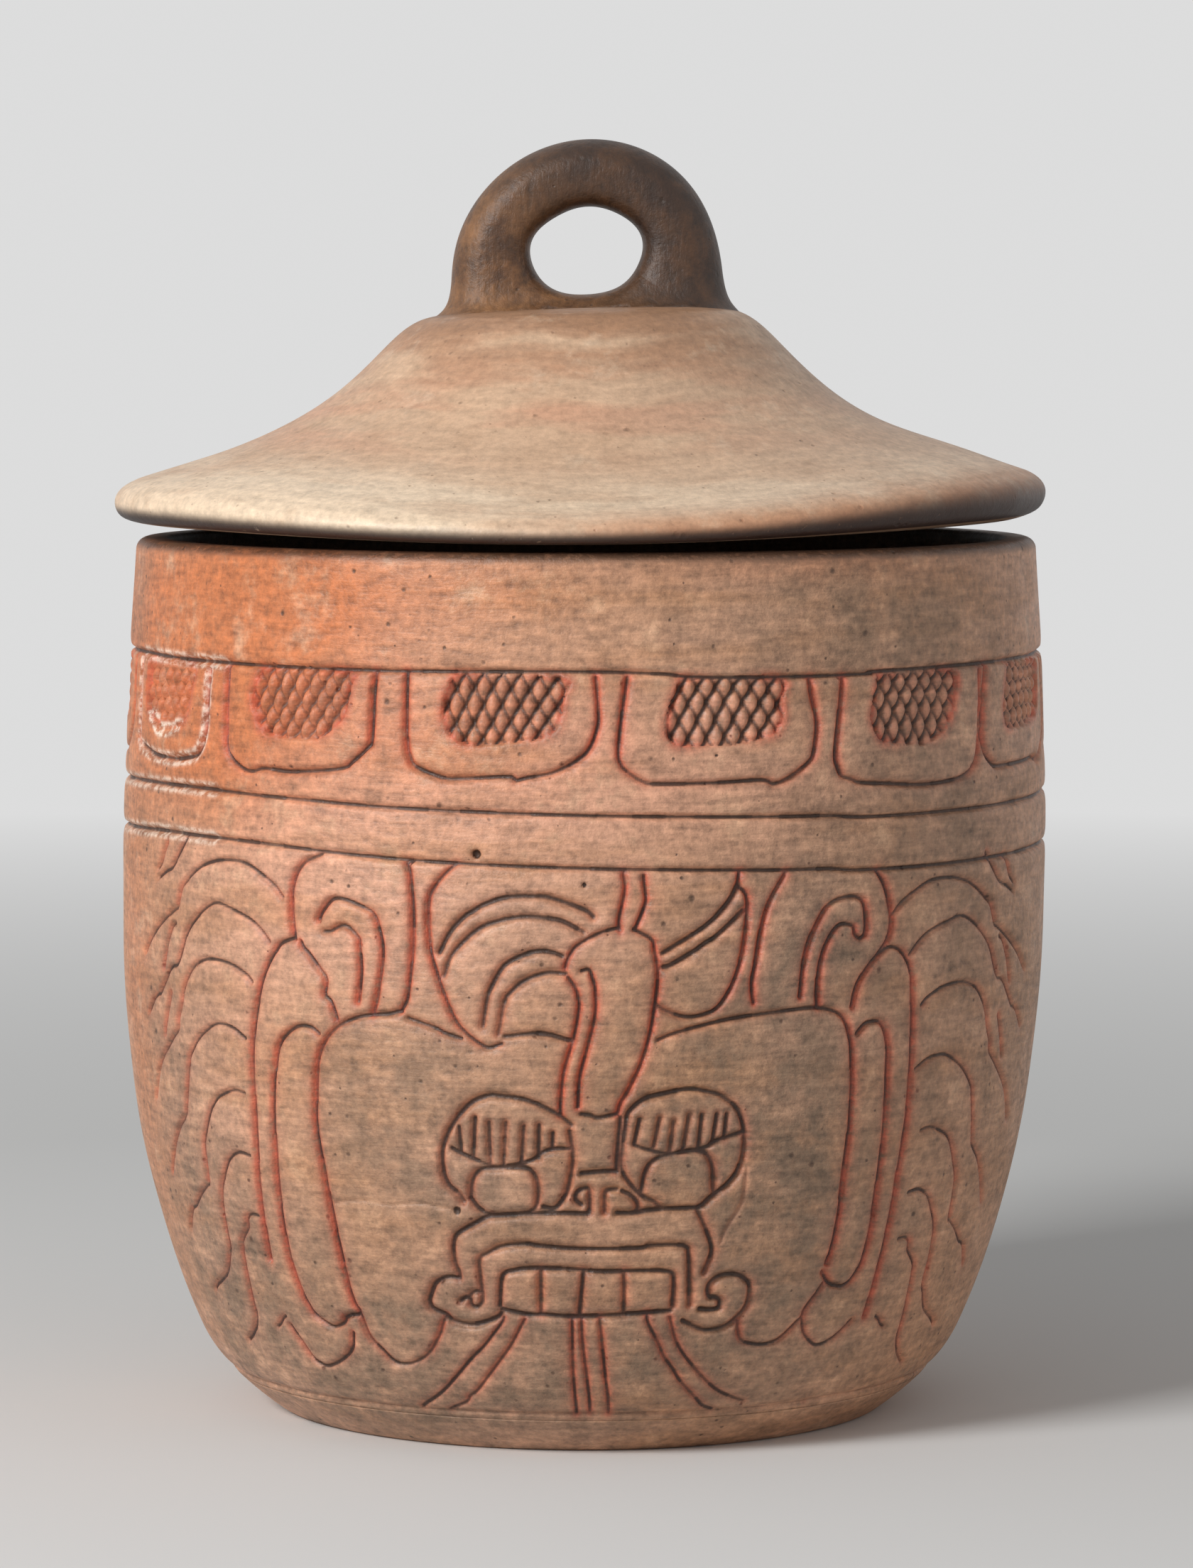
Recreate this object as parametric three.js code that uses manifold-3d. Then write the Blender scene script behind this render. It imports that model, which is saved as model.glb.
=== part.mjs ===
// Lidded vessel of fired clay, built by hand: a barrel-shaped jar and a hollow lid that is
// lifted by a pierced loop. Millimetres, +Z up, the front is towards -Y, and the origin is
// at the middle of the face that the jar rests on.

import * as THREE from 'three';
import { mergeVertices } from 'three/addons/utils/BufferGeometryUtils.js';
import Module from 'manifold-3d';

const wasm = await Module();
wasm.setup();

// Jar, measured outside
const jarHeight = 189;
const rimRadius = 97.6;
const bellySwell = 2.8; // belly past the rim
const bellyHeight = 120;
const footTaper = 26.5; // how far the wall draws in from the belly to the ground
const swellPower = 1.7; // how late the swell falls off towards the rim
const taperPower = 2.6; // how late the taper sets in below the belly
const heelCut = 7.9; // how far the rounded heel is cut in below that taper
const heelHeight = 18; // how far up the rounded heel reaches
const wallThickness = 7.5;
const slabThickness = 8; // disc of clay that closes the jar below
const innerFillet = 10; // clay pressed into the corner between slab and wall
const lipRounding = 2.6;

// Incised ring lines round the jar
const ringDrops = [63.5, 52.8, 24.4]; // below the lip
const baseRingRise = 1.7; // above the seam of slab and wall
const ringWidth = 1.8;
const ringDepth = 1;
const ringMargin = 1.4; // no other point of the outside lies this near the middle of a ring

// Lines cut into the wall. They are drawn on the wall unrolled: across from the middle of the
// front, measured round a cylinder of drawingRadius, and up from the ground.
const drawingRadius = 100;
const lineWidth = 1.6;
const lineDepth = 1;
const lineJoin = 0.3; // how far a line runs into the ring that it starts from
const lineStep = 24; // longest straight stretch of a line
const lineBend = 50; // degrees that a line turns at most from one stretch to the next
const roundPoints = 8; // points through which a round line is drawn

// Frames that hang from the top ring
const frameCount = 14;
const frameShift = -17.5; // middle of the nearest one
const frameWidth = 39.5;
const frameDrop = 21;
const frameSquareness = 5; // power of the rounded outline, where 2 is an ellipse

// Mask panel between the rings of the band and the base ring. Heights are shares of the panel's.
const panelCount = 2; // one in front, one behind
const maskShift = 2;
const eyeSpacing = 37.8;
const eyeWidth = 27;
const eyeHeight = 24.4;
const eyeMiddle = 0.495;
const eyeSweep = [-100, 225]; // degrees from the outer corner, over the top
const featherCount = 3; // at each side
const featherPitch = 23;
const featherTop = 0.92;
const featherRoot = 70; // across, of the top one
const featherSpread = 5; // each lower one starts this much further out
const featherCrest = 14; // from the root out to the highest point
const featherArch = 6;
const featherReach = 42;
const featherDroop = 19;

// Strokes of the mask, each a curve through points: across from the mask's middle, and height.
// The side strokes are mirrored, and the middle ones run on through the middle.
const sideStrokes = {
  head: [[15, 0.695], [38, 0.735], [53, 0.725], [58.5, 0.665], [60, 0.485], [57, 0.2]],
  lock: [[60, 0.77], [67, 0.845], [73.5, 0.79], [76.5, 0.605], [77.5, 0.19]],
  snout: [[2.5, 1], [3, 0.9], [11, 0.84], [8.5, 0.66], [5, 0.56]],
  ray: [[19.5, 0.186], [29, 0.085], [44, 0]],
};
const middleStrokes = {
  lip: [[21, 0.383], [28.5, 0.335], [28, 0.265]],
  teeth: [[16, 0.278], [20, 0.25], [19.5, 0.195]],
};

// Lid
const brimOverhang = 3.1; // past the jar's rim
const brimThickness = 6.5;
const brimLift = 5.7; // middle of the brim's edge above the seat
const lidHeight = 49; // seat to crown
const crownRadius = 33.5; // flat top under the loop
const shoulderRadius = 38; // where the crown's rounded edge meets the concave sweep
const shoulderDrop = 2.6;
const sweepLength = 40; // distance in which the concave sweep flattens out
const lidWall = 6.5;
const seatInset = 1; // seating bead, inwards of the lip's two edges
const beadRunout = 5.7; // width in which the bead rises to the lid's underside

// Loop handle
const loopRadius = 29;
const loopCentreHeight = 7.4; // middle of the round outline above the crown
const loopDepth = 20; // front to back
const loopCrestRounding = 12.5;
const loopSquareness = 2.5; // power of the loop's oval section, where 2 is an ellipse
const footFlare = 4.4;
const footFlareHeight = 2.6;
const holeWidth = 24;
const holeHeight = 19.3;
const holeCentreHeight = 12.2; // above the crown
const holeRounding = 2.4; // softened edge of the hole

// Fit
const seatClearance = 0.3; // lid on the lip
const luteClearance = 0.3; // between two pieces that were joined with wet clay

// Facets
const turnSteps = 48;
const loopSteps = 32;
const holeSteps = 28;

const clay = {
  jar: { color: 0xa8714f, roughness: 0.62, metalness: 0 },
  slab: { color: 0x8d684e, roughness: 0.8, metalness: 0 },
  lid: { color: 0xb49272, roughness: 0.6, metalness: 0 },
  loop: { color: 0x7d5f48, roughness: 0.62, metalness: 0 },
};

const point = (radius, height) => new THREE.Vector2(radius, height);
const steps = (from, to, count) =>
  Array.from({ length: count + 1 }, (_, i) => from + ((to - from) * i) / count);

// Outside of the jar: bellied, tapering down to the foot, with the heel cut round
function jarRadius(height) {
  const above = Math.max(0, height - bellyHeight) / (jarHeight - bellyHeight);
  const below = Math.max(0, bellyHeight - height) / bellyHeight;
  const heel = Math.max(0, 1 - height / heelHeight);
  const belly = bellySwell * (1 - above ** swellPower);
  return rimRadius + belly - footTaper * below ** taperPower - heelCut * heel ** 2;
}

// Upper surface of the lid between the shoulder and the brim, and its slope
function sweep(radius) {
  const shoulderHeight = jarHeight + seatClearance + lidHeight - shoulderDrop;
  const brimTop = jarHeight + seatClearance + brimLift + brimThickness / 2;
  const span = rimRadius + brimOverhang - brimThickness / 2 - shoulderRadius;
  const tail = Math.exp(-span / sweepLength);
  const scale = (shoulderHeight - brimTop) / (1 - tail);
  const decay = Math.exp(-(radius - shoulderRadius) / sweepLength);
  return { height: brimTop + scale * (decay - tail), slope: (-scale * decay) / sweepLength };
}

// Underside of the lid: the sweep moved down by the wall, closed by the crown's underside
function lidUnderside(radius) {
  const { height, slope } = sweep(radius);
  const crownUnderside = jarHeight + seatClearance + lidHeight - lidWall;
  return Math.min(crownUnderside, height - lidWall * Math.hypot(1, slope));
}

function arc(centreRadius, centreHeight, radius, fromDegrees, toDegrees, count) {
  return steps(fromDegrees, toDegrees, count).map((degrees) => {
    const turn = THREE.MathUtils.degToRad(degrees);
    return point(centreRadius + radius * Math.cos(turn), centreHeight + radius * Math.sin(turn));
  });
}

// A profile of (radius, height) points turned about the vertical axis
function turned(profile) {
  const geometry = new THREE.LatheGeometry(profile, turnSteps);
  geometry.rotateX(Math.PI / 2);
  return geometry;
}

function solidOf(geometry) {
  const bare = geometry.clone();
  bare.deleteAttribute('normal');
  bare.deleteAttribute('uv');
  const merged = mergeVertices(bare, 1e-4);
  const corners = Array.from(merged.index.array);
  const triangles = [];
  for (let i = 0; i < corners.length; i += 3) {
    const [a, b, c] = corners.slice(i, i + 3);
    if (a !== b && b !== c && c !== a) triangles.push(a, b, c);
  }
  return new wasm.Manifold(
    new wasm.Mesh({
      numProp: 3,
      vertProperties: new Float32Array(merged.attributes.position.array),
      triVerts: new Uint32Array(triangles),
    }),
  );
}

function geometryOf(solid) {
  const mesh = solid.getMesh();
  const geometry = new THREE.BufferGeometry();
  geometry.setAttribute('position', new THREE.BufferAttribute(mesh.vertProperties, 3));
  geometry.setIndex(new THREE.BufferAttribute(mesh.triVerts, 1));
  geometry.computeVertexNormals();
  return geometry;
}

// Shares of a curve's length at which its straight stretches meet, closer together in its bends
function stretchShares(curve) {
  const shares = steps(0, 1, Math.ceil(curve.getLength()));
  const ways = shares.map((share) => curve.getTangentAt(share));
  let used = 0;
  const spent = ways.map((way, i) => {
    if (i > 0) used += shares[1] * (curve.getLength() / lineStep);
    if (i > 0) used += THREE.MathUtils.radToDeg(way.angleTo(ways[i - 1])) / lineBend;
    return used;
  });
  const meetings = steps(0, used, Math.ceil(used)).slice(1, -1);
  return [0, ...meetings.map((meeting) => shares[spent.findIndex((sum) => sum >= meeting)]), 1];
}

// The tool that cuts one line: a bar of V section along a curve through drawn points
function lineTool(points) {
  const curve = new THREE.SplineCurve(points.map(([across, up]) => point(across, up)));
  const rings = stretchShares(curve);
  const section = [[1, 1], [-1, 1], [0, -1]]; // the V starts as far outside the wall as it is deep
  const positions = rings.flatMap((share) => {
    const place = curve.getPointAt(share);
    const way = curve.getTangentAt(share);
    return section.flatMap(([side, out]) => {
      const turn = (place.x - side * lineWidth * way.y) / drawingRadius;
      const radius = jarRadius(place.y) + out * lineDepth;
      return [radius * Math.sin(turn), -radius * Math.cos(turn), place.y + side * lineWidth * way.x];
    });
  });
  const end = positions.length / 3 - 3;
  const triangles = [0, 2, 1, end, end + 1, end + 2];
  for (let ring = 0; ring < end; ring += 3) {
    section.forEach((_, side) => {
      const [here, next] = [ring + side, ring + ((side + 1) % 3)];
      triangles.push(here, next, next + 3, here, next + 3, here + 3);
    });
  }
  const geometry = new THREE.BufferGeometry();
  geometry.setAttribute('position', new THREE.Float32BufferAttribute(positions, 3));
  geometry.setIndex(triangles);
  return solidOf(geometry);
}

const copies = (count) => Array.from({ length: count }, (_, number) => number);

// The frames of the band, spaced evenly round the wall
function frameLines() {
  const top = jarHeight - ringDrops[2] - ringWidth / 2 + lineJoin;
  const rounded = (value) => Math.sign(value) * Math.abs(value) ** (2 / frameSquareness);
  return copies(frameCount).map((number) => {
    const middle = frameShift + (2 * Math.PI * drawingRadius * number) / frameCount;
    return steps(0, Math.PI, roundPoints).map((turn) => [
      middle + (frameWidth / 2) * rounded(Math.cos(turn)),
      top - frameDrop * rounded(Math.sin(turn)),
    ]);
  });
}

// The mask panels, spaced evenly round the wall
function panelLines() {
  const bottom = slabThickness + luteClearance + baseRingRise + ringWidth / 2 - lineJoin;
  const height = jarHeight - ringDrops[0] - ringWidth / 2 + lineJoin - bottom;
  const drawn = (stroke) => stroke.map(([across, share]) => [across, bottom + share * height]);
  const mirrored = (stroke) => stroke.map(([across, up]) => [-across, up]);
  const [eyeStart, eyeEnd] = eyeSweep.map(THREE.MathUtils.degToRad);
  const eye = steps(eyeStart, eyeEnd, roundPoints).map((turn) => [
    (eyeSpacing + eyeWidth * Math.cos(turn)) / 2,
    bottom + eyeMiddle * height + (eyeHeight / 2) * Math.sin(turn),
  ]);
  const feathers = copies(featherCount).map((number) => {
    const root = featherRoot + featherSpread * number;
    const up = bottom + featherTop * height - featherPitch * number;
    return [[root, up], [root + featherCrest, up + featherArch], [root + featherReach, up - featherDroop]];
  });
  const side = [...Object.values(sideStrokes).map(drawn), eye, ...feathers];
  const middle = Object.values(middleStrokes).map(drawn);
  const whole = middle.map((half) => [...mirrored(half).reverse(), ...half]);
  const mask = [...side, ...side.map(mirrored), ...whole];
  return copies(panelCount).flatMap((panel) => {
    const shift = maskShift + (2 * Math.PI * drawingRadius * panel) / panelCount;
    return mask.map((line) => line.map(([across, up]) => [shift + across, up]));
  });
}

// Disc that the jar is built up on, with the lower part of the heel
function baseSlab() {
  const heel = steps(0, slabThickness, 4).map((height) => point(jarRadius(height), height));
  return turned([point(0, 0), ...heel, point(0, slabThickness)]);
}

// Coiled and scraped wall, with the cut rings and lines, the rounded lip and the pressed-in corner
function jarWall() {
  const bottom = slabThickness + luteClearance;
  const plain = [
    ...steps(bottom, heelHeight, 4),
    ...steps(heelHeight, bellyHeight, 6).slice(1),
    ...steps(bellyHeight, jarHeight - lipRounding, 3).slice(1),
  ];
  const rings = [bottom + baseRingRise, ...ringDrops.map((drop) => jarHeight - drop)];
  const cut = rings.flatMap((height) => [height - ringWidth / 2, height, height + ringWidth / 2]);
  const clear = plain.filter((height) => rings.every((ring) => Math.abs(height - ring) > ringMargin));
  const outside = [...clear, ...cut]
    .sort((a, b) => a - b)
    .map((height) => point(jarRadius(height) - (rings.includes(height) ? ringDepth : 0), height));

  const lipHeight = jarHeight - lipRounding;
  const lip = arc(jarRadius(lipHeight) - lipRounding, lipHeight, lipRounding, 0, 90, 3).slice(1);
  const innerRounding = lipRounding / 2;
  const mouthRadius = jarRadius(lipHeight) - wallThickness;
  const innerLip = arc(mouthRadius + innerRounding, jarHeight - innerRounding, innerRounding, 90, 180, 3);

  const inside = [
    ...steps(jarHeight - 2 * lipRounding, bellyHeight, 2),
    ...steps(bellyHeight, bottom + innerFillet, 4).slice(1),
    ...steps(bottom + innerFillet, bottom, 4).slice(1),
  ].map((height) => {
    const corner = Math.max(0, 1 - (height - bottom) / innerFillet);
    return point(jarRadius(height) - wallThickness - innerFillet * corner ** 2, height);
  });
  const wall = solidOf(turned([...outside, ...lip, ...innerLip, ...inside, outside[0]]));
  const carving = wasm.Manifold.union([...frameLines(), ...panelLines()].map(lineTool));
  return geometryOf(wall.subtract(carving));
}

// Hollow lid: crown, concave sweep, rounded brim, and a low bead below that sits on the lip
function lidShell() {
  const seat = jarHeight + seatClearance;
  const crown = seat + lidHeight;
  const brimRadius = rimRadius + brimOverhang;
  const edge = brimThickness / 2;
  const beadOuter = rimRadius - lipRounding - seatInset / 2;
  const beadInner = rimRadius - wallThickness + seatInset;
  const beadRoot = beadInner - beadRunout;

  const inside = steps(crownRadius, beadRoot, 6).map((radius) => point(radius, lidUnderside(radius)));
  const beadEdge = point(beadInner - seatInset, seat + seatInset);
  const bead = [beadEdge, point(beadInner, seat), point(beadOuter, seat)];
  const brim = arc(brimRadius - edge, seat + brimLift, edge, -100, 90, 7);
  const outside = steps(brimRadius - edge, shoulderRadius, 8)
    .slice(1)
    .map((radius) => point(radius, sweep(radius).height));
  const shoulder = new THREE.QuadraticBezierCurve(
    point(shoulderRadius, crown - shoulderDrop),
    point((shoulderRadius + crownRadius) / 2, crown),
    point(crownRadius, crown),
  )
    .getPoints(3)
    .slice(1);
  const underside = point(0, crown - lidWall);
  return turned([underside, ...inside, ...bead, ...brim, ...outside, ...shoulder, point(0, crown)]);
}

// Half-width and half-depth of the loop at a height above its foot's underside
function loopSection(height) {
  const rise = height - loopCentreHeight;
  const flare = footFlare * Math.exp(-height / footFlareHeight);
  const halfWidth = rise > 0 ? Math.sqrt(Math.max(0, loopRadius ** 2 - rise ** 2)) : loopRadius;
  const crestStart = loopCentreHeight + loopRadius - loopCrestRounding;
  const crest = Math.max(0, (height - crestStart) / loopCrestRounding);
  const halfDepth = (loopDepth / 2) * Math.sqrt(Math.max(0, 1 - crest ** 2));
  return { halfWidth: halfWidth + flare, halfDepth: halfDepth + flare };
}

// The loop's solid before it is pierced: flattened oval sections stacked up to the crest
function loopBlank(foot) {
  const top = loopCentreHeight + loopRadius;
  const low = steps(0, loopCentreHeight, 5);
  const high = steps(0, 90, 11)
    .slice(1, -1)
    .map((degrees) => loopCentreHeight + loopRadius * Math.sin(THREE.MathUtils.degToRad(degrees)));
  const heights = [...low, ...high];
  const positions = [0, 0, foot];
  heights.forEach((height) => {
    const { halfWidth, halfDepth } = loopSection(height);
    for (let i = 0; i < loopSteps; i += 1) {
      const turn = (2 * Math.PI * i) / loopSteps;
      const x = halfWidth * Math.sign(Math.cos(turn)) * Math.abs(Math.cos(turn)) ** (2 / loopSquareness);
      const y = halfDepth * Math.sign(Math.sin(turn)) * Math.abs(Math.sin(turn)) ** (2 / loopSquareness);
      positions.push(x, y, foot + height);
    }
  });
  positions.push(0, 0, foot + top);

  const triangles = [];
  const vertex = (ring, i) => 1 + ring * loopSteps + (i % loopSteps);
  const crest = positions.length / 3 - 1;
  for (let i = 0; i < loopSteps; i += 1) {
    triangles.push(0, vertex(0, i + 1), vertex(0, i));
    for (let ring = 0; ring < heights.length - 1; ring += 1) {
      triangles.push(vertex(ring, i), vertex(ring, i + 1), vertex(ring + 1, i + 1));
      triangles.push(vertex(ring, i), vertex(ring + 1, i + 1), vertex(ring + 1, i));
    }
    triangles.push(vertex(heights.length - 1, i), vertex(heights.length - 1, i + 1), crest);
  }
  const geometry = new THREE.BufferGeometry();
  geometry.setAttribute('position', new THREE.Float32BufferAttribute(positions, 3));
  geometry.setIndex(triangles);
  return geometry;
}

// The tool that pierces the loop from front to back, widening softly towards both faces
function holeTool(foot) {
  const face = loopDepth / 2;
  const widening = (along) => {
    const into = Math.max(0, Math.abs(along) - (face - holeRounding));
    return holeRounding - Math.sqrt(Math.max(0, holeRounding ** 2 - Math.min(into, holeRounding) ** 2));
  };
  const reach = face + footFlare;
  const nearFace = steps(-face, -face + holeRounding, 4);
  const farFace = steps(face - holeRounding, face, 4);
  const along = [-reach, ...nearFace, ...farFace, reach];
  const profile = along.map((y) => point(holeWidth / 2 + widening(y), y));
  const geometry = new THREE.LatheGeometry([point(0, -reach), ...profile, point(0, reach)], holeSteps);
  geometry.scale(1, 1, holeHeight / holeWidth);
  geometry.translate(0, 0, foot + holeCentreHeight);
  return geometry;
}

// Thick coil of clay bent into a loop, its foot spread out on the crown
function loopHandle() {
  const foot = jarHeight + seatClearance + lidHeight + luteClearance;
  return geometryOf(solidOf(loopBlank(foot)).subtract(solidOf(holeTool(foot))));
}

function piece(name, geometry, finish) {
  const mesh = new THREE.Mesh(geometry, new THREE.MeshStandardMaterial(finish));
  mesh.name = name;
  return mesh;
}

const jar = new THREE.Group();
jar.add(piece('base_slab', baseSlab(), clay.slab));
jar.add(piece('jar_wall', jarWall(), clay.jar));

const lid = new THREE.Group();
lid.add(piece('lid_shell', lidShell(), clay.lid));
lid.add(piece('loop_handle', loopHandle(), clay.loop));

const vessel = new THREE.Group();
vessel.add(jar, lid);
export default vessel;
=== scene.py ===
import math

import bpy
import numpy as np
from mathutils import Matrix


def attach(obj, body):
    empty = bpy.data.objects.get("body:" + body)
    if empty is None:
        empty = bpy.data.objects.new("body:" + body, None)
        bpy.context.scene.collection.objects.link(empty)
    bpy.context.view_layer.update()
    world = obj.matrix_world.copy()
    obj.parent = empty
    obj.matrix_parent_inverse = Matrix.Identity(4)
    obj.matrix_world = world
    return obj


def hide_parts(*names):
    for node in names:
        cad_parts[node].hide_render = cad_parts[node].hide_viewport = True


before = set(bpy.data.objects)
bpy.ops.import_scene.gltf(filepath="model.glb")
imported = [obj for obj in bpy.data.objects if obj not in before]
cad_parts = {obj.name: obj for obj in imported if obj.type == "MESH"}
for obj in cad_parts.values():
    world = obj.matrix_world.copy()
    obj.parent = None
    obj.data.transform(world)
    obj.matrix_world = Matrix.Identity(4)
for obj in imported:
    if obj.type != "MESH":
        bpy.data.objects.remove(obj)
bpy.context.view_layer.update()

# Base slab
# The disc of clay that the jar is built up on. It was pressed out by hand, its heel was rounded
# and burnished together with the wall, and the resting face was only scraped and stays matt.

MM = 0.001
JAR_HEIGHT = 189.0
RIM_RADIUS = 97.6
BELLY_SWELL, BELLY_HEIGHT = 2.8, 120.0
FOOT_TAPER = 26.5
HEEL_CUT, HEEL_HEIGHT = 7.9, 18.0
SLAB_THICKNESS = 8.0
LEAN, LEAN_FROM = 1.5, 60.0  # the jar leans to its own left as it rises
FOOT_OFFSET = -0.3


def jar_radius(height):
    height = np.asarray(height, float)
    above = np.clip((height - BELLY_HEIGHT) / (JAR_HEIGHT - BELLY_HEIGHT), 0, None)
    below = np.clip((BELLY_HEIGHT - height) / BELLY_HEIGHT, 0, None)
    heel = np.clip(1 - height / HEEL_HEIGHT, 0, None)
    return RIM_RADIUS + BELLY_SWELL * (1 - above**1.7) - FOOT_TAPER * below**2.6 - HEEL_CUT * heel**2


def smooth_step(value):
    value = np.clip(value, 0, 1)
    return value * value * (3 - 2 * value)


def hand_swell(turn, height):
    """Low uneven swell that coiling and scraping by hand leaves, in mm."""
    slow = 0.22 * np.sin(2 * turn + 0.7) + 0.16 * np.sin(3 * turn + height / 31)
    return slow + 0.1 * np.sin(5 * turn - height / 19 + 1.3) + 0.06 * np.sin(height / 5.5 + 2 * turn)


def jar_place(turn, radius, height):
    """A point of the jar, turn radians from the front, with the lean of the whole jar."""
    shift = FOOT_OFFSET + LEAN * np.clip((height - LEAN_FROM) / (JAR_HEIGHT - LEAN_FROM), 0, 1)
    return np.stack([radius * np.sin(turn) + shift, -radius * np.cos(turn), height + 0 * turn], -1) * MM


def linked(name, data):
    made = bpy.data.objects.new(name, data)
    bpy.context.scene.collection.objects.link(made)
    return made


CAP_STRIP = 0.01  # share of the map kept for the fan that closes an end


def turned_piece(name, points, closing):
    """A mesh of rings of points: closing is "ring" if the last ring meets the first, else "caps".
    Its map unrolls the rings into a sheet, with a narrow strip at each end for the cap."""
    rings, columns = points.shape[:2]
    joined = rings if closing == "ring" else rings - 1
    ring, column = np.arange(joined)[:, None], np.arange(columns)[None, :]
    upper, right = (ring + 1) % rings, (column + 1) % columns
    u, next_u = column / columns, (column + 1) / columns
    v = CAP_STRIP + (1 - 2 * CAP_STRIP) * ring / joined
    next_v = v + (1 - 2 * CAP_STRIP) / joined
    corners = [ring * columns + column, ring * columns + right]
    corners += [upper * columns + right, upper * columns + column]
    faces = [np.stack(np.broadcast_arrays(*corners), -1).reshape(-1, 4)]
    spots = [np.stack(np.broadcast_arrays(u, v, next_u, v, next_u, next_v, u, next_v), -1).reshape(-1, 2)]
    places = points.reshape(-1, 3)
    if closing == "caps":
        places = np.vstack([places, points[0].mean(0), points[-1].mean(0)])
        first, last = [right, column], [(rings - 1) * columns + column, (rings - 1) * columns + right]
        first_map = [(u + next_u) / 2, 0.0, next_u, CAP_STRIP, u, CAP_STRIP]
        last_map = [(u + next_u) / 2, 1.0, u, 1 - CAP_STRIP, next_u, 1 - CAP_STRIP]
        for cap, side, sheet in ((0, first, first_map), (1, last, last_map)):
            faces.append(np.stack(np.broadcast_arrays(rings * columns + cap, *side), -1).reshape(-1, 3))
            spots.append(np.stack(np.broadcast_arrays(*sheet), -1).reshape(-1, 2))
    sizes = np.concatenate([np.full(len(group), group.shape[1]) for group in faces])
    mesh = bpy.data.meshes.new(name)
    mesh.vertices.add(len(places))
    mesh.vertices.foreach_set("co", places.ravel().astype(np.float32))
    mesh.loops.add(int(sizes.sum()))
    order = np.concatenate([group.ravel() for group in faces])
    mesh.loops.foreach_set("vertex_index", order.astype(np.int32))
    mesh.polygons.add(len(sizes))
    mesh.polygons.foreach_set("loop_start", (np.cumsum(sizes) - sizes).astype(np.int32))
    mesh.polygons.foreach_set("use_smooth", np.ones(len(sizes), bool))
    mesh.uv_layers.new(name="OFBake").data.foreach_set("uv", np.vstack(spots).ravel().astype(np.float32))
    mesh.update(calc_edges=True)
    mesh.validate()
    return linked(name, mesh)


def paint(piece, name, values):
    """Keeps one number for each point of the mesh, which the material reads."""
    values = np.concatenate([values.ravel(), np.zeros(len(piece.data.vertices) - values.size)])
    piece.data.attributes.new(name, "FLOAT", "POINT").data.foreach_set("value", values.astype(np.float32))


def hex_colour(code):
    channels = [int(code[i : i + 2], 16) / 255 for i in (1, 3, 5)]
    linear = [c / 12.92 if c <= 0.04045 else ((c + 0.055) / 1.055) ** 2.4 for c in channels]
    return (*linear, 1.0)


def add(owner, kind, give=None, sockets=None, **settings):
    """Adds a node with its settings and links, and returns its output of the name given. A socket's
    value is a number, a colour or another node's output."""
    made = owner.node_tree.nodes.new(kind)
    for name, value in settings.items():
        setattr(made, name, value)
    for name, value in (sockets or {}).items():
        socket = next(s for s in made.inputs if s.identifier == name)
        if isinstance(value, bpy.types.NodeSocket):
            owner.node_tree.links.new(value, socket)
        else:
            socket.default_value = value
    return next((s for s in made.outputs if s.identifier == give), None)


def new_material(name):
    material = bpy.data.materials.new(name)
    material.use_nodes = True
    material.node_tree.nodes.clear()
    return material


def scraped_clay():
    """Bare fired clay drawn over with a shell edge: matt and gritty, with grit of 1 to 2 mm and marks
    about 3 mm apart. Typical fired earthenware: IOR 1.5, roughness about 0.85."""
    clay = new_material("scraped_clay")
    place = add(clay, "ShaderNodeTexCoord", "Object")
    patterns = []
    for per_metre, detail, rough in ((35, 6, 0.6), (650, 3, 0.7), (330, 1, 0.5)):
        noise = {"Vector": place, "Scale": per_metre, "Detail": detail, "Roughness": rough}
        patterns.append(add(clay, "ShaderNodeTexNoise", "Fac", noise))
    cloud, grit, marks = patterns
    spread = add(clay, "ShaderNodeMapRange", "Result", {"Value": cloud, "From Min": 0.32, "From Max": 0.7})
    ends = {"Factor_Float": spread, "A_Color": hex_colour("#86644A"), "B_Color": hex_colour("#A98262")}
    base = add(clay, "ShaderNodeMix", "Result_Color", ends, data_type="RGBA")
    grains = {"Value": grit, "From Min": 0.35, "From Max": 0.7, "To Min": 0.75, "To Max": 1.15}
    speck = add(clay, "ShaderNodeMapRange", "Result", grains)
    both = {"Factor_Float": 1.0, "A_Color": base, "B_Color": speck}
    tinted = add(clay, "ShaderNodeMix", "Result_Color", both, data_type="RGBA", blend_type="MULTIPLY")
    relief = add(clay, "ShaderNodeMath", "Value", {"Value": marks, "Value_001": grit}, operation="ADD")
    bump = add(clay, "ShaderNodeBump", "Normal", {"Height": relief, "Strength": 0.5, "Distance": 0.0006})
    look = {"Base Color": tinted, "Roughness": 0.86, "IOR": 1.5, "Normal": bump}
    shader = add(clay, "ShaderNodeBsdfPrincipled", "BSDF", look)
    add(clay, "ShaderNodeOutputMaterial", None, {"Surface": shader})
    return clay


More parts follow.
